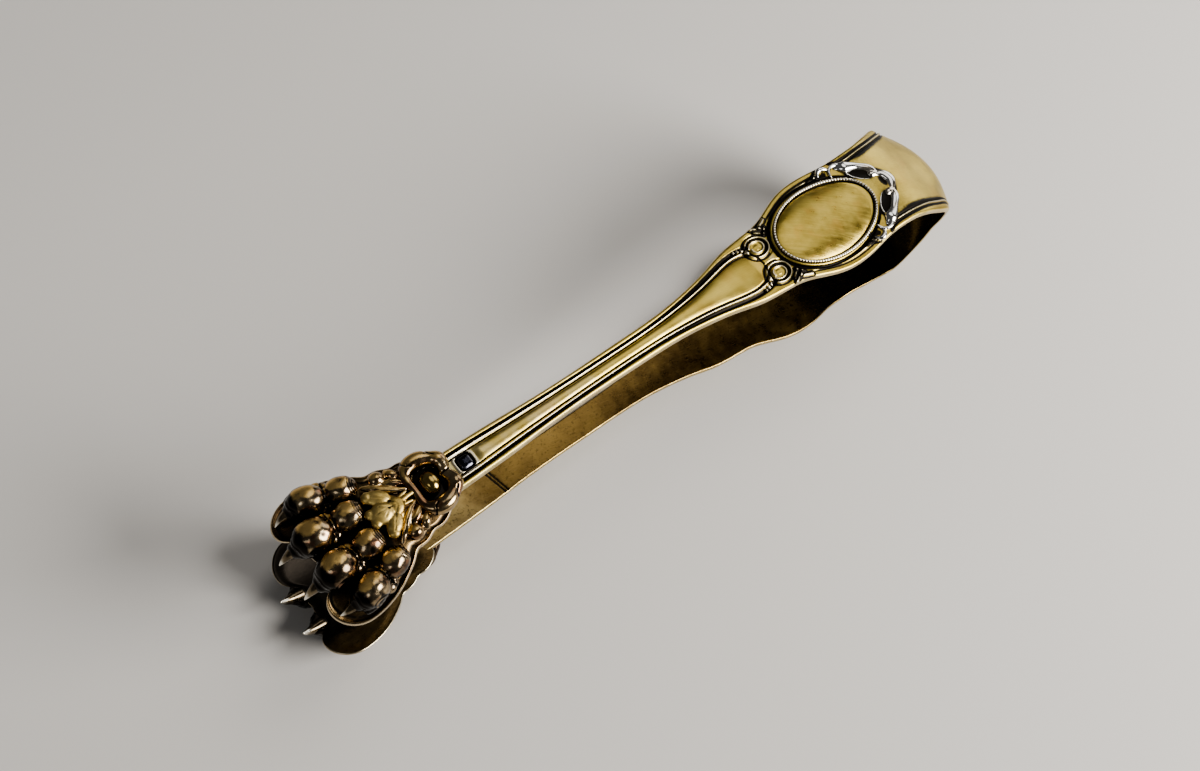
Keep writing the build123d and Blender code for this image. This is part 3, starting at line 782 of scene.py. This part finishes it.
def ring_mesh(side):
    """Fine beaded ring round the oval."""
    name = "upper" if side > 0 else "lower"
    n, m = 1080, 12
    a = np.linspace(0, 2 * math.pi, n, endpoint=False)
    A, B = OV_A + 0.36, OV_B + 0.36
    cx, cy = OV_X + A * np.cos(a), B * np.sin(a)
    tx, ty = -A * np.sin(a), B * np.cos(a)
    ln = np.hypot(tx, ty)
    nx, ny = ty / ln, -tx / ln
    arc = np.concatenate([[0], np.cumsum(np.hypot(np.diff(cx), np.diff(cy)))])
    bead = np.abs(np.sin(arc / arc[-1] * math.pi * 108))
    r = 0.27 + 0.055 * bead
    b = np.linspace(0, 2 * math.pi, m, endpoint=False)
    off, up = r[:, None] * np.cos(b)[None, :] * 1.05, r[:, None] * np.sin(b)[None, :]
    x = cx[:, None] + nx[:, None] * off
    y = cy[:, None] + ny[:, None] * off
    z = line_z(cx)[:, None] + 0.72 + up
    v = np.stack([x.ravel(), y.ravel(), z.ravel()], 1)
    i, j = np.meshgrid(np.arange(n), np.arange(m), indexing="ij")
    i2, j2 = (i + 1) % n, (j + 1) % m
    quads = np.stack([i * m + j, i2 * m + j, i2 * m + j2, i * m + j2], -1).reshape(-1, 4)
    dark = np.repeat((0.5 * (bead < 0.35))[:, None], m, 1) + (np.sin(b) < 0.1)[None, :] * 0.6
    worn = np.repeat(bead[:, None], m, 1) * (np.sin(b) > 0.5)[None, :]
    return build_mesh(f"{name}_thread_ring", place(v, side), quads, [], dict(dark=dark.ravel(), worn=worn.ravel()), [m_ring], None, side)


def on(x, h):
    return float(line_z(x)) + h


def crest(side):
    name = "upper" if side > 0 else "lower"
    parts = []
    # apex lobe, turned over towards the bow, with a hollow behind it
    parts.append(tube([(x, y, on(x, h), r) for x, y, h, r in ((23.3, -2.0, 0.1, 0.55), (22.0, -1.6, 0.2, 0.95), (21.3, -0.5, 0.3, 1.20), (21.2, 0.6, 0.3, 1.20), (21.9, 1.7, 0.2, 0.95), (22.6, 2.7, 0.1, 0.6))], 56, 120))
    parts.append(tube([(x, y, on(x, h), r) for x, y, h, r in ((23.6, -2.0, 0.15, 0.22), (24.2, -0.9, 0.15, 0.22), (24.3, 0.3, 0.15, 0.22), (23.9, 1.4, 0.15, 0.25))], 20, 60))
    for s in (1, -1):
        # long outer lobe that swells into a bulb
        parts.append(tube([(x, s * y, on(x, h), r) for x, y, h, r in
                           ((22.6, 2.5, 0.1, 0.55), (23.0, 3.4, 0.2, 0.85), (24.0, 4.5, 0.2, 0.95), (25.3, 5.5, 0.15, 0.90), (26.5, 6.3, 0.1, 0.98),
                            (27.5, 6.8, 0.0, 1.25), (28.4, 7.2, -0.1, 1.42), (29.3, 7.6, -0.1, 0.95), (29.8, 7.8, -0.1, 0.5))], 64, 200))
        # small ball at the head of the hollow
        parts.append(tube([(x, s * y, on(x, h), r) for x, y, h, r in ((23.3, 2.5, 0.15, 0.75), (24.0, 2.6, 0.1, 0.75), (24.7, 3.0, -0.1, 0.5))], 40, 60))
        # thin inner rim round the black hollow
        parts.append(tube([(x, s * y, on(x, h), r) for x, y, h, r in
                           ((23.9, 1.7, 0.2, 0.22), (25.2, 1.9, 0.22, 0.22), (26.7, 2.7, 0.22, 0.22), (28.0, 4.0, 0.22, 0.22), (28.7, 5.4, 0.2, 0.24), (28.8, 6.6, 0.2, 0.3))], 20, 80))
        # end curl, a thin rim that turns back to the ring
        parts.append(tube([(x, s * y, on(x, h), r) for x, y, h, r in
                           ((28.6, 8.2, 0.15, 0.50), (29.8, 8.7, 0.2, 0.46), (31.0, 8.6, 0.25, 0.40), (31.9, 7.8, 0.25, 0.34), (32.1, 6.9, 0.2, 0.26))], 28, 80))
        # small leaf beyond the curl
        parts.append(tube([(x, s * y, on(x, h), r) for x, y, h, r in
                           ((31.6, 8.6, 0.1, 0.3), (32.4, 9.3, 0.25, 0.55), (33.3, 9.6, 0.2, 0.58), (34.0, 9.2, 0.15, 0.42), (34.3, 8.6, 0.1, 0.25))], 32, 60))
        parts.append(ellipsoid((25.9, s * 4.0, on(25.9, -0.28)), (2.5, 1.5, 0.42), turn=s * 36.0, n=48))
    parts.append(ellipsoid((22.9, 0, on(22.9, -0.10)), (1.35, 1.8, 0.42), n=40))

    def carve(co, nr):
        ay = np.abs(co[:, 1])
        low = smooth(0.42, 0.22, co[:, 2] - line_z(co[:, 0])) * smooth(0.4, 0.8, nr[:, 2])
        d = dist_poly(co[:, 0], ay, [(24.9, 3.3), (25.9, 4.0), (27.4, 5.2)], 3)
        e = np.hypot((co[:, 0] - 22.9) / 1.2, co[:, 1] / 1.7)
        return -0.13 * low * np.maximum(smooth(1.6, 1.1, d), smooth(1.0, 0.8, e))
    return organic(f"{name}_crest_lobes", parts, side, 0.12, 14, carve, [m_silver], cap=17.05,
                   sole=lambda x: line_z(x) - 0.7)


def stud(side):
    name = "upper" if side > 0 else "lower"
    n, m = 60, 14
    a = np.linspace(0, 2 * math.pi, n, endpoint=False)
    c, s = np.cos(a), np.sin(a)
    k = (np.abs(c) ** 4 + np.abs(s) ** 4) ** -0.25
    rows = []
    rho = []
    for r in np.linspace(0.06, 1, m):
        z = float(line_z(132.35)) - 0.02 + 0.42 * (1 - r ** 2.6) + 0.03 * np.sin(5 * a) * r * (1 - r) * 2
        rows.append(np.stack([132.35 + 1.25 * r * k * c, 1.18 * r * k * s, z + 0 * a], 1))
        rho.append(np.full(n, r))
    rows.append(np.stack([132.35 + 1.25 * k * c, 1.18 * k * s, np.full(n, float(line_z(132.35)) - 0.6)], 1))
    rho.append(np.full(n, 1.0))
    v = np.vstack(rows)
    R = len(rows)
    i, j = np.meshgrid(np.arange(R - 1), np.arange(n), indexing="ij")
    j2 = (j + 1) % n
    quads = np.stack([i * n + j, (i + 1) * n + j, (i + 1) * n + j2, i * n + j2], -1).reshape(-1, 4)
    extra = [tuple(range(n)), tuple(reversed(range((R - 1) * n, R * n)))]
    rho = np.concatenate(rho)
    return build_mesh(f"{name}_square_stud", place(v, side), quads, extra, dict(dark=0 * rho, worn=0.8 * gauss(rho - 0.8, 0.12)), [m_black], None, side)


def painted_top_light_patches(co, nr):
    """Painted top light: lit gold patches on the faces that look up and to the far side, towards the top lamp, in loose
    patches.
    """
    d = nr @ (np.array([0.05, -0.42, 0.90]) / 0.9945)
    return smooth(0.70, 0.93, d) * (0.75 + 0.25 * np.sin(co[:, 0] * 1.9 + 1.0) * np.sin(co[:, 1] * 1.3))


def collar(side):
    name = "upper" if side > 0 else "lower"
    z0 = 14.2
    # a broad C-scroll round the bead: two bulging lobes in front, smooth flanks, ends curled in behind
    half = [(136.75, 0.0, z0 + 0.40, 0.95), (136.35, 1.2, z0 + 0.5, 1.15), (136.4, 2.3, z0 + 0.6, 1.35), (137.2, 3.15, z0 + 0.5, 1.18),
            (138.5, 3.9, z0 + 0.4, 1.35), (139.9, 4.2, z0 + 0.3, 1.40), (141.2, 3.9, z0 + 0.25, 1.30), (142.2, 3.0, z0 + 0.2, 1.0), (142.5, 1.7, z0 + 0.3, 0.80)]
    ring = half + [(142.4, 0.0, z0 + 0.4, 0.72)] + [(x, -y, z, r) for x, y, z, r in half[:0:-1]]
    parts = [tube(ring, 64, 300, closed=True),
             ellipsoid((139.3, 0, 13.3), (3.2, 4.4, 0.5), n=40)]

    def carve(co, nr):
        x, y, z = co.T
        cut = np.zeros(len(co))
        for s in (1, -1):        # scroll creases
            d = dist_poly(x, y * s, [(137.5, 4.9), (137.3, 3.9), (136.7, 3.2)], 2)
            cut -= 0.16 * gauss(d, 0.16) * (z > z0)
            d = dist_poly(x, y * s, [(141.9, 4.9), (141.5, 4.0), (140.8, 3.6)], 2)
            cut -= 0.14 * gauss(d, 0.15) * (z > z0)
        cut -= 0.14 * gauss(y, 0.16) * (x < 137.6) * (z > z0)
        return cut
    ob = organic(f"{name}_scroll_collar", parts, side, 0.13, 12, carve, [m_cast], painted_underside_shade=0.45,
                 top_light_paint=lambda co, nr: painted_top_light_patches(co, nr) * smooth(0.2, -2.4, co[:, 1]))
    # painted shade: the hollow inside the collar, round the bead, is laid in as dark colour
    add_painted_shade(ob, side, lambda x, y, z: 1.2 * (((x - 139.4) / 2.5) ** 2 + (y / 3.2) ** 2 < 1) * (z < 14.0))
    return ob


def collar_bead(side):
    name = "upper" if side > 0 else "lower"
    parts = [ellipsoid((139.65, 0.1, 14.4), (1.6, 2.1, 1.65), n=40),
             ellipsoid((139.4, 0.15, 13.3), (1.6, 2.2, 0.45), n=40)]

    def carve(co, nr):
        return -0.05 * gauss(np.hypot((co[:, 0] - 139.5) / 1.25, (co[:, 1] - 0.15) / 1.85) - 1.0, 0.10)
    return organic(f"{name}_collar_bead", parts, side, 0.11, 10, carve, [m_bead], painted_underside_shade=0.15)


def side_leaves(side):
    name = "upper" if side > 0 else "lower"
    z0 = 13.9
    parts = []
    for s in (1, -1):
        # curled lobe beside the collar, bead, and the blades between bead and vine leaf
        parts.append(tube([(142.9, s * 3.9, z0 + 0.1, 0.60), (143.7, s * 4.7, z0, 0.85), (144.0, s * 5.4, z0 - 0.3, 0.55)], 40, 60))
        parts.append(ellipsoid((146.0, s * 5.15, z0 + 0.05), (1.4, 1.3, 1.3), 10 * s, n=48))
        parts.append(ellipsoid((145.6, s * 4.9, z0 - 0.7), (1.5, 1.2, 0.5), 10 * s, n=32))
        parts.append(tube([(142.9, s * 2.2, z0 + 0.55, 0.36), (143.9, s * 2.95, z0 + 0.65, 0.62), (145.1, s * 3.6, z0 + 0.45, 0.66), (146.1, s * 3.9, z0 + 0.1, 0.34)], 18, 36, 0.9))
        parts.append(tube([(143.2, s * 1.2, z0 + 0.7, 0.30), (144.8, s * 2.0, z0 + 0.75, 0.50), (146.2, s * 3.1, z0 + 0.55, 0.60), (147.6, s * 4.4, z0 + 0.2, 0.62), (148.6, s * 5.4, z0 - 0.2, 0.34)], 18, 44, 0.9))
        parts.append(ellipsoid((144.8, s * 3.5, z0 - 0.85), (3.4, 2.2, 0.5), 22 * s, n=32))

    def carve(co, nr):
        x, y = co[:, 0], np.abs(co[:, 1])
        cut = np.zeros(len(co))
        for p in ([(143.2, 2.4), (144.4, 3.2), (145.7, 3.8)], [(144.3, 1.8), (146.0, 3.0), (147.6, 4.5)]):
            cut -= 0.08 * gauss(dist_poly(x, y, p, 1.5), 0.13)
        return cut
    return organic(f"{name}_side_leaves", parts, side, 0.12, 8, carve, [m_cast], painted_underside_shade=0.3, seat=True, top_light_paint=painted_top_light_patches)


def vine_leaf(side):
    name = "upper" if side > 0 else "lower"
    parts = [ellipsoid((146.6, 0.3, 15.25), (1.6, 1.6, 0.62), 0, 6),
             ellipsoid((148.9, 0.2, 15.45), (2.0, 1.75, 0.78), 4, 4),
             ellipsoid((148.0, -2.3, 15.30), (2.1, 1.30, 0.70), -34, 4),
             ellipsoid((149.2, -3.1, 15.25), (1.0, 1.0, 0.60), 0, 4),
             ellipsoid((148.2, 2.7, 15.25), (1.9, 1.25, 0.70), 40, 4),
             ellipsoid((149.0, 3.7, 15.15), (0.95, 0.9, 0.60), 0, 4),
             ellipsoid((150.4, -0.6, 15.35), (0.85, 0.9, 0.58), 0, 4),
             ellipsoid((150.3, 1.0, 15.35), (0.85, 0.9, 0.58), 0, 4),
             ellipsoid((147.5, 0.2, 14.7), (2.3, 2.7, 0.65), 0, 4),
             tube([(142.9, -0.1, 14.8, 0.40), (144.4, 0.0, 15.0, 0.38), (145.8, 0.25, 15.3, 0.50)], 14),
             tube([(143.6, -0.9, 14.7, 0.24), (144.7, -0.7, 14.9, 0.26), (145.9, -0.35, 15.2, 0.3)], 12),
             tube([(143.6, 0.9, 14.7, 0.24), (144.7, 0.8, 14.9, 0.26), (145.9, 0.75, 15.2, 0.3)], 12)]

    def carve(co, nr):
        x, y, z = co.T
        cut = np.zeros(len(co))
        top = nr[:, 2] > 0.25
        for p in ([(145.9, 0.3), (147.3, 0.2), (149.8, 0.1)], [(146.1, 0.1), (147.3, -1.5), (149.0, -3.0)], [(146.2, 0.5), (147.4, 1.9), (148.8, 3.6)],
                  [(147.4, 0.2), (148.7, -0.8)], [(147.4, 0.2), (148.7, 1.1)]):
            cut -= 0.04 * gauss(dist_poly(x, y, p, 1.2), 0.14) * top
        cut += 0.02 * np.sin(x * 3.1 + y * 2.0) * np.sin(y * 2.7) * top
        return cut
    return organic(f"{name}_vine_leaf", parts, side, 0.11, 4, carve, [m_leaf])


SHELL_OUT = [(137.8, 4.1), (138.7, 5.1), (140.0, 5.9), (141.3, 6.25), (142.6, 6.25), (143.9, 6.8), (145.4, 7.2), (146.5, 7.25), (148.0, 8.3), (149.5, 9.3), (151.8, 10.5),
             (154.5, 11.35), (156.8, 11.65), (158.8, 11.5), (160.7, 10.6), (162.0, 9.2), (162.6, 7.5), (162.3, 5.9), (160.9, 4.4), (160.2, 3.0), (160.4, 1.6), (160.2, 0.0)]


def shell(side):
    name = "upper" if side > 0 else "lower"
    half = curve_pts(SHELL_OUT, 260)
    full = np.vstack([[[137.5, 0.0]], half, half[::-1][1:] * np.array([1, -1])])
    na = len(full)
    C = np.array([151.0, 0.0])
    rt = np.concatenate([np.linspace(0.04, 0.8, 26), np.linspace(0.82, 0.995, 30)])

    def pts(r, kind):
        p = C + (full - C)[None, :, :] * r[:, None, None]
        x, y = p[..., 0], p[..., 1]
        edge = np.linalg.norm(full - C, axis=1)[None, :] * (1 - r[:, None])      # mm inside the edge
        z = plate_z(x, y)
        flank = smooth(5.5, 10.5, np.abs(y)) * smooth(145, 150, x)
        if kind == "top":
            z = z + 0.22 * gauss(edge - 0.30, 0.26) - 0.12 * gauss(edge - 1.1, 0.35)
            z = z - 0.35 * flank * gauss(edge - 2.2, 1.3)
        else:
            z = z - 1.05 + 0.50 * smooth(2.2, 0.0, edge)
            z = z + 0.18 * np.exp(-((np.abs(y) - 4.8) / 2.4) ** 2) * smooth(150, 156, x)
        return x, y, z, edge
    xt, yt, zt, et = pts(rt, "top")
    xr, yr, zr, er = pts(np.array([1.0]), "top")
    zr = zr - 0.25
    rb = np.concatenate([[0.992], np.linspace(0.975, 0.85, 8), np.linspace(0.8, 0.05, 22)])
    xb, yb, zb, eb = pts(rb, "bottom")
    v = np.stack([np.concatenate([a.ravel() for a in k]) for k in ((xt, xr, xb), (yt, yr, yb), (zt, zr, zb))], 1)
    top_c = np.array([[151.0, 0, float(shell_z(151.0))]])
    bot_c = np.array([[151.0, 0, float(shell_z(151.0)) - 1.05]])
    v = np.vstack([top_c, v, bot_c])
    rows = len(rt) + 1 + len(rb)
    i, j = np.meshgrid(np.arange(rows - 1), np.arange(na), indexing="ij")
    j2 = (j + 1) % na
    # the outline runs clockwise seen from outside, so that outward faces run the other way round
    quads = np.stack([1 + i * na + j, 1 + i * na + j2, 1 + (i + 1) * na + j2, 1 + (i + 1) * na + j], -1).reshape(-1, 4)
    extra = [(0, 1 + (k + 1) % na, 1 + k) for k in range(na)]
    last = 1 + (rows - 1) * na
    extra += [(last + k, last + (k + 1) % na, len(v) - 1) for k in range(na)]
    edge = np.concatenate([[9], et.ravel(), er.ravel(), eb.ravel(), [9]])
    worn = 1.0 * gauss(edge - 0.05, 0.20)
    dark = 0.55 * gauss(edge - 1.15, 0.45)
    inner = np.concatenate([np.zeros(1 + et.size + er.size), np.ones(eb.size + 1)])
    # painted shade: the inside face of the plate darkens towards the front, along the middle and on the far side
    dark = dark * (1 - inner) + inner * (0.12 + 0.55 * smooth(150.0, 156.0, v[:, 0]) * np.maximum(smooth(8.5, 5.5, np.abs(v[:, 1])), 1.3 * smooth(-3.0, -6.0, v[:, 1])))
    # painted shade on the plate's top under and between the toes
    dark[:1 + et.size] += 0.9 * smooth(9.8, 6.0, np.hypot((v[:1 + et.size, 0] - 155.5) / 0.95, v[:1 + et.size, 1]))
    mi = np.where(i >= len(rt) + 1, 1, 0).ravel()
    return build_mesh(f"{name}_paw_plate", place(v, side), quads, extra, dict(dark=dark, worn=worn), [m_shell, m_under],
                      np.concatenate([mi, np.zeros(na, int), np.ones(na, int)]), side)


TOES = {1: ("outer", -1), 2: ("inner", -1), 3: ("inner", 1), 4: ("outer", 1)}
INNER = dict(rear=(152.9, 2.65, 14.05), rr=(2.75, 2.45, 2.35), front=(158.7, 3.05, 13.75), fr=(3.45, 2.95, 3.05), c0=(160.9, 3.15, 12.7), c1=(162.8, 3.2, 11.5), c2=(164.2, 3.25, 9.9))
OUTER = dict(rear=(151.2, 7.0, 13.25), rr=(2.75, 2.25, 2.35), front=(156.3, 8.45, 12.95), fr=(3.25, 2.55, 2.9), c0=(158.2, 8.6, 12.1), c1=(160.0, 8.7, 11.4), c2=(161.6, 8.4, 10.3))


def toe(side, k):
    name = "upper" if side > 0 else "lower"
    kind, s = TOES[k]
    g = INNER if kind == "inner" else OUTER
    f = np.array([1, s, 1.0])
    rear, front = np.array(g["rear"]) * f, np.array(g["front"]) * f
    c0, c1 = np.array(g["c0"]) * f, np.array(g["c1"]) * f
    turn = math.degrees(math.atan2(front[1] - rear[1], front[0] - rear[0]))
    ax = (front - rear) / np.linalg.norm(front - rear)
    lat = np.cross([0, 0, 1.0], ax)
    lat /= np.linalg.norm(lat)
    parts = [ellipsoid(rear, g["rr"], turn, 6, 40), ellipsoid(front, g["fr"], turn, 16, 44)]
    mid = (rear + front) / 2
    parts.append(tube([(*(rear - [0, 0, 0.5]), 1.5), (*(mid - [0, 0, 0.6]), 1.45), (*(front - [0, 0, 0.5]), 1.6)], 24, 24))
    # fleshy folds on both sides of the front knuckle, and the cuticle round the claw
    for t in (1, -1):
        a = front + lat * t * 1.5 + ax * -1.5 + np.array([0, 0, 0.35])
        b = front + lat * t * 1.65 + ax * 0.5 + np.array([0, 0, -0.25])
        c = front + lat * t * 1.35 + ax * 2.3 + np.array([0, 0, -0.9])
        parts.append(tube([(*a, 0.8), (*b, 0.95), (*c, 0.75)], 20, 26))
        # low curls that fill the gap beside the toe
        e = mid + lat * t * 1.7 + np.array([0, 0, -0.7])
        parts.append(ellipsoid(e, (1.5, 0.95, 1.0), turn + 25 * t, 0, 28))
        e = front + lat * t * 1.8 + ax * -2.9 + np.array([0, 0, -0.8])
        parts.append(ellipsoid(e, (1.0, 0.8, 0.8), turn - 20 * t, 0, 28))
    parts.append(tube([(*(front + ax * 0.8 + np.array([0, 0, -0.4])), 2.1), (*(c0 - (c1 - c0) * 0.15), 1.85), (*(c0 + (c1 - c0) * 0.12), 1.6)], 24, 20))
    root = rear - ax * 1.8 - np.array([0, 0, 0.7])
    parts.append(tube([(*root, 1.1), (*(rear - [0, 0, 0.3]), 1.6)], 18, 10))

    def carve(co, nr):
        d = co - c0
        along = d @ ((c1 - c0) / np.linalg.norm(c1 - c0))
        rad = np.linalg.norm(co - (c0 + (c1 - c0) * 0.15), axis=1)
        cut = np.zeros(len(co))
        up = smooth(-0.35, 0.15, nr[:, 2])
        for r0, amp in ((1.85, 0.07), (2.4, 0.055)):
            cut -= amp * gauss(rad - r0 - 0.10 * np.sin(3 * (co @ lat)), 0.20) * up
        cut += 0.03 * gauss(rad - 2.1, 0.16) * up
        # a spiral fold on each flank of the front knuckle
        q = co - front
        u, w_, h_ = q @ ax, q @ lat, q[:, 2]
        for t in (1, -1):
            flank = smooth(0.4, 1.3, w_ * t)
            rr = np.hypot(u - 0.55, h_ - 0.1)
            ph = np.arctan2(h_ - 0.1, (u - 0.55)) / (2 * math.pi)
            sp = (rr - 0.62 * (ph % 1.0)) / 0.62
            sp = np.abs(sp - np.round(sp)) * 0.62
            cut -= 0.07 * gauss(sp, 0.17) * flank * (rr < 1.75) * (rr > 0.2)
        # crease between the two knuckles, and short wrinkles behind the rear one
        cut -= 0.16 * gauss((co - mid) @ ax + 0.15, 0.16) * smooth(-0.2, 0.3, nr[:, 2])
        qr = co - rear
        ur, wr = qr @ ax, qr @ lat
        for o in (-1.15, -1.55, -1.95):
            cut -= 0.09 * gauss(ur - o + 0.12 * wr * wr, 0.10) * (np.abs(wr) < 1.5) * up
        cut += 0.055 * np.sin(co[:, 0] * 1.7 + 1.7 * k) * np.sin(co[:, 1] * 1.9 + k) + 0.015 * np.sin(co[:, 0] * 3.9 + k) * np.sin(co[:, 1] * 3.3 + 2 * k)
        return cut
    ob = organic(f"{name}_toe_{k}", parts, side, 0.13, 6, carve, [m_toe], painted_underside_shade=0.95, seat=True, top_light_paint=painted_top_light_patches)
    # painted shade: each toe is darkened from its front knuckle on towards the claw
    add_painted_shade(ob, side, lambda x, y, z: 0.85 * smooth(1.2, 2.6, (x - front[0]) * ax[0] + (y - front[1]) * ax[1]))
    return ob


def claws(side):
    name = "upper" if side > 0 else "lower"
    vs, fs, dk, wn, off = [], [], [], [], 0
    n, m = 28, 40
    for k in (1, 2, 3, 4):
        kind, s = TOES[k]
        g = INNER if kind == "inner" else OUTER
        p = np.array([np.array(g[c]) * [1, s, 1] for c in ("c0", "c1", "c2")])
        start = p[0] - (p[1] - p[0]) * 0.25
        c = curve_pts(np.vstack([start, p]), m)
        t = np.linspace(0, 1, m)
        r = 1.38 * (1 - t ** 1.15) ** 0.95 + 0.13
        tan = np.gradient(c, axis=0)
        tan /= np.linalg.norm(tan, axis=1)[:, None]
        latv = np.array([0, 1.0, 0])
        a = np.linspace(0, 2 * math.pi, n, endpoint=False)
        for i in range(m):
            sd = latv - tan[i] * (latv @ tan[i])
            sd /= np.linalg.norm(sd)
            up = np.cross(sd, tan[i])
            prof = 1 + 0.16 * np.abs(np.sin(a)) ** 3 - 0.05 * np.cos(4 * a)
            rr = r[i] * prof
            ring = c[i] + (rr * np.cos(a) * 0.86)[:, None] * sd + (rr * np.sin(a))[:, None] * up
            if c[i][0] < 160.5:
                ring[:, 2] = np.maximum(ring[:, 2], plate_z(ring[:, 0], ring[:, 1]) - 0.3)
            vs.append(ring)
            dk.append(np.full(n, 0.9 * float(smooth(0.18, 0.02, t[i]))))
            wn.append(0.15 * np.abs(np.sin(a)) ** 6 + 0.9 * float(smooth(0.55, 0.95, t[i])))
        tip = c[-1] + tan[-1] * 0.16
        vs.append(tip[None, :])
        dk.append(np.zeros(1))
        wn.append(np.ones(1))
        for i in range(m - 1):
            for j in range(n):
                j2 = (j + 1) % n
                fs.append((off + i * n + j, off + (i + 1) * n + j, off + (i + 1) * n + j2, off + i * n + j2))
        fs.append(tuple(off + j for j in range(n)))
        top = off + (m - 1) * n
        fs += [(top + j, off + m * n, top + (j + 1) % n) for j in range(n)]
        off += m * n + 1
    v = np.vstack(vs)
    quads = [f for f in fs if len(f) == 4]
    extra = [f for f in fs if len(f) != 4]
    ob = build_mesh(f"{name}_claw_set", place(v, side), quads, extra, dict(dark=np.concatenate(dk), worn=np.concatenate(wn)), [m_claw], None, side)
    return ob


# ------------------------------------------------------------------ build both arms
for side, arm in ((1, "upper_arm"), (-1, "lower_arm")):
    tag = "upper" if side > 0 else "lower"
    ob = strip(side)
    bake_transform(ob)
    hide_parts(f"{tag}_arm", "bow_spring")
    for make, nodes, slot in ((oval_panel, ["cartouche"], "gilt_panel"), (ring_mesh, ["bead_ring"], "gilt_border"), (crest, ["crest"], "bright_silver"),
                              (stud, ["stud"], "oxidised_stud"), (collar, ["collar"], "cast_silver_gilt"), (collar_bead, ["collar_bead"], "cast_bead"),
                              (vine_leaf, ["vine_leaf"], "matt_gilt_leaf"), (side_leaves, ["side_leaves"], "cast_silver_gilt"),
                              (shell, ["paw_shell"], "gilt_shell"), (claws, ["claws"], "cast_claw")):
        ob = make(side)
        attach(ob, arm)
        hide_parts(*[f"{tag}_{n}" for n in nodes])
    for k in (1, 2, 3, 4):
        ob = toe(side, k)
        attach(ob, arm)
        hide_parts(f"{tag}_toe_{k}")

# ------------------------------------------------------------------ floor, light, camera
fm = bpy.data.materials.new("pale_floor")
fm.use_nodes = True
fb = fm.node_tree.nodes["Principled BSDF"]
fb.inputs["Base Color"].default_value = (0.62, 0.59, 0.55, 1)
fb.inputs["Roughness"].default_value = 0.9
fb.inputs["Specular IOR Level"].default_value = 0.15
bpy.ops.mesh.primitive_plane_add(size=6.0, location=(0, 0, 0))
floor = bpy.context.object
floor.name = "studio_floor"
floor.data.materials.append(fm)

bpy.context.scene.view_settings.look = "AgX - Medium High Contrast"
world = bpy.data.worlds.new("studio")
bpy.context.scene.world = world
world.use_nodes = True
world.node_tree.nodes["Background"].inputs[0].default_value = (0.95, 0.97, 1.0, 1)
world.node_tree.nodes["Background"].inputs[1].default_value = 0.08


def soft_light(name, direction, distance, size, watts, colour=(1, 1, 1), size_y=None):
    data = bpy.data.lights.new(name, "AREA")
    data.shape = "ELLIPSE"
    data.size, data.size_y = size, size_y or size
    data.energy = watts
    data.color = colour
    ob = bpy.data.objects.new(name, data)
    bpy.context.scene.collection.objects.link(ob)
    d = Vector(direction).normalized()
    ob.location = Vector((0.02, 0, 0.015)) + d * distance
    ob.rotation_mode = "QUATERNION"
    ob.rotation_quaternion = (-d).to_track_quat("-Z", "Y")
    return ob


soft_light("key", (-0.50, 0.66, 0.56), 0.80, 0.50, 10.5, (1.0, 0.99, 0.97))
soft_light("top", (-0.44, -0.24, 0.87), 0.90, 0.60, 1.25, (1.0, 0.99, 0.98))
soft_light("back", (-0.92, -0.16, 0.36), 0.90, 0.55, 1.35, (1.0, 0.99, 0.97))
soft_light("fill", (0.72, 0.20, 0.66), 0.90, 0.30, 0.5, (0.96, 0.98, 1.0))

cam_data = bpy.data.cameras.new("camera")
cam_data.lens = 31.3007
cam_data.sensor_width = 36.0
cam_data.clip_start = 0.005
cam_data.clip_end = 20.0
cam = bpy.data.objects.new("camera", cam_data)
bpy.context.scene.collection.objects.link(cam)
right = Vector((-0.729397, 0.634992, 0.25449))
down = Vector((0.489384, 0.744284, -0.454472))
fwd = Vector((-0.477999, -0.206948, -0.853633))
rot = Matrix((right, -down, -fwd)).transposed()
cam.matrix_world = Matrix.Translation(Vector(((X0 + 190.6125) / 1000, 0.039318, (MID + 167.039) / 1000))) @ rot.to_4x4()
bpy.context.scene.camera = cam
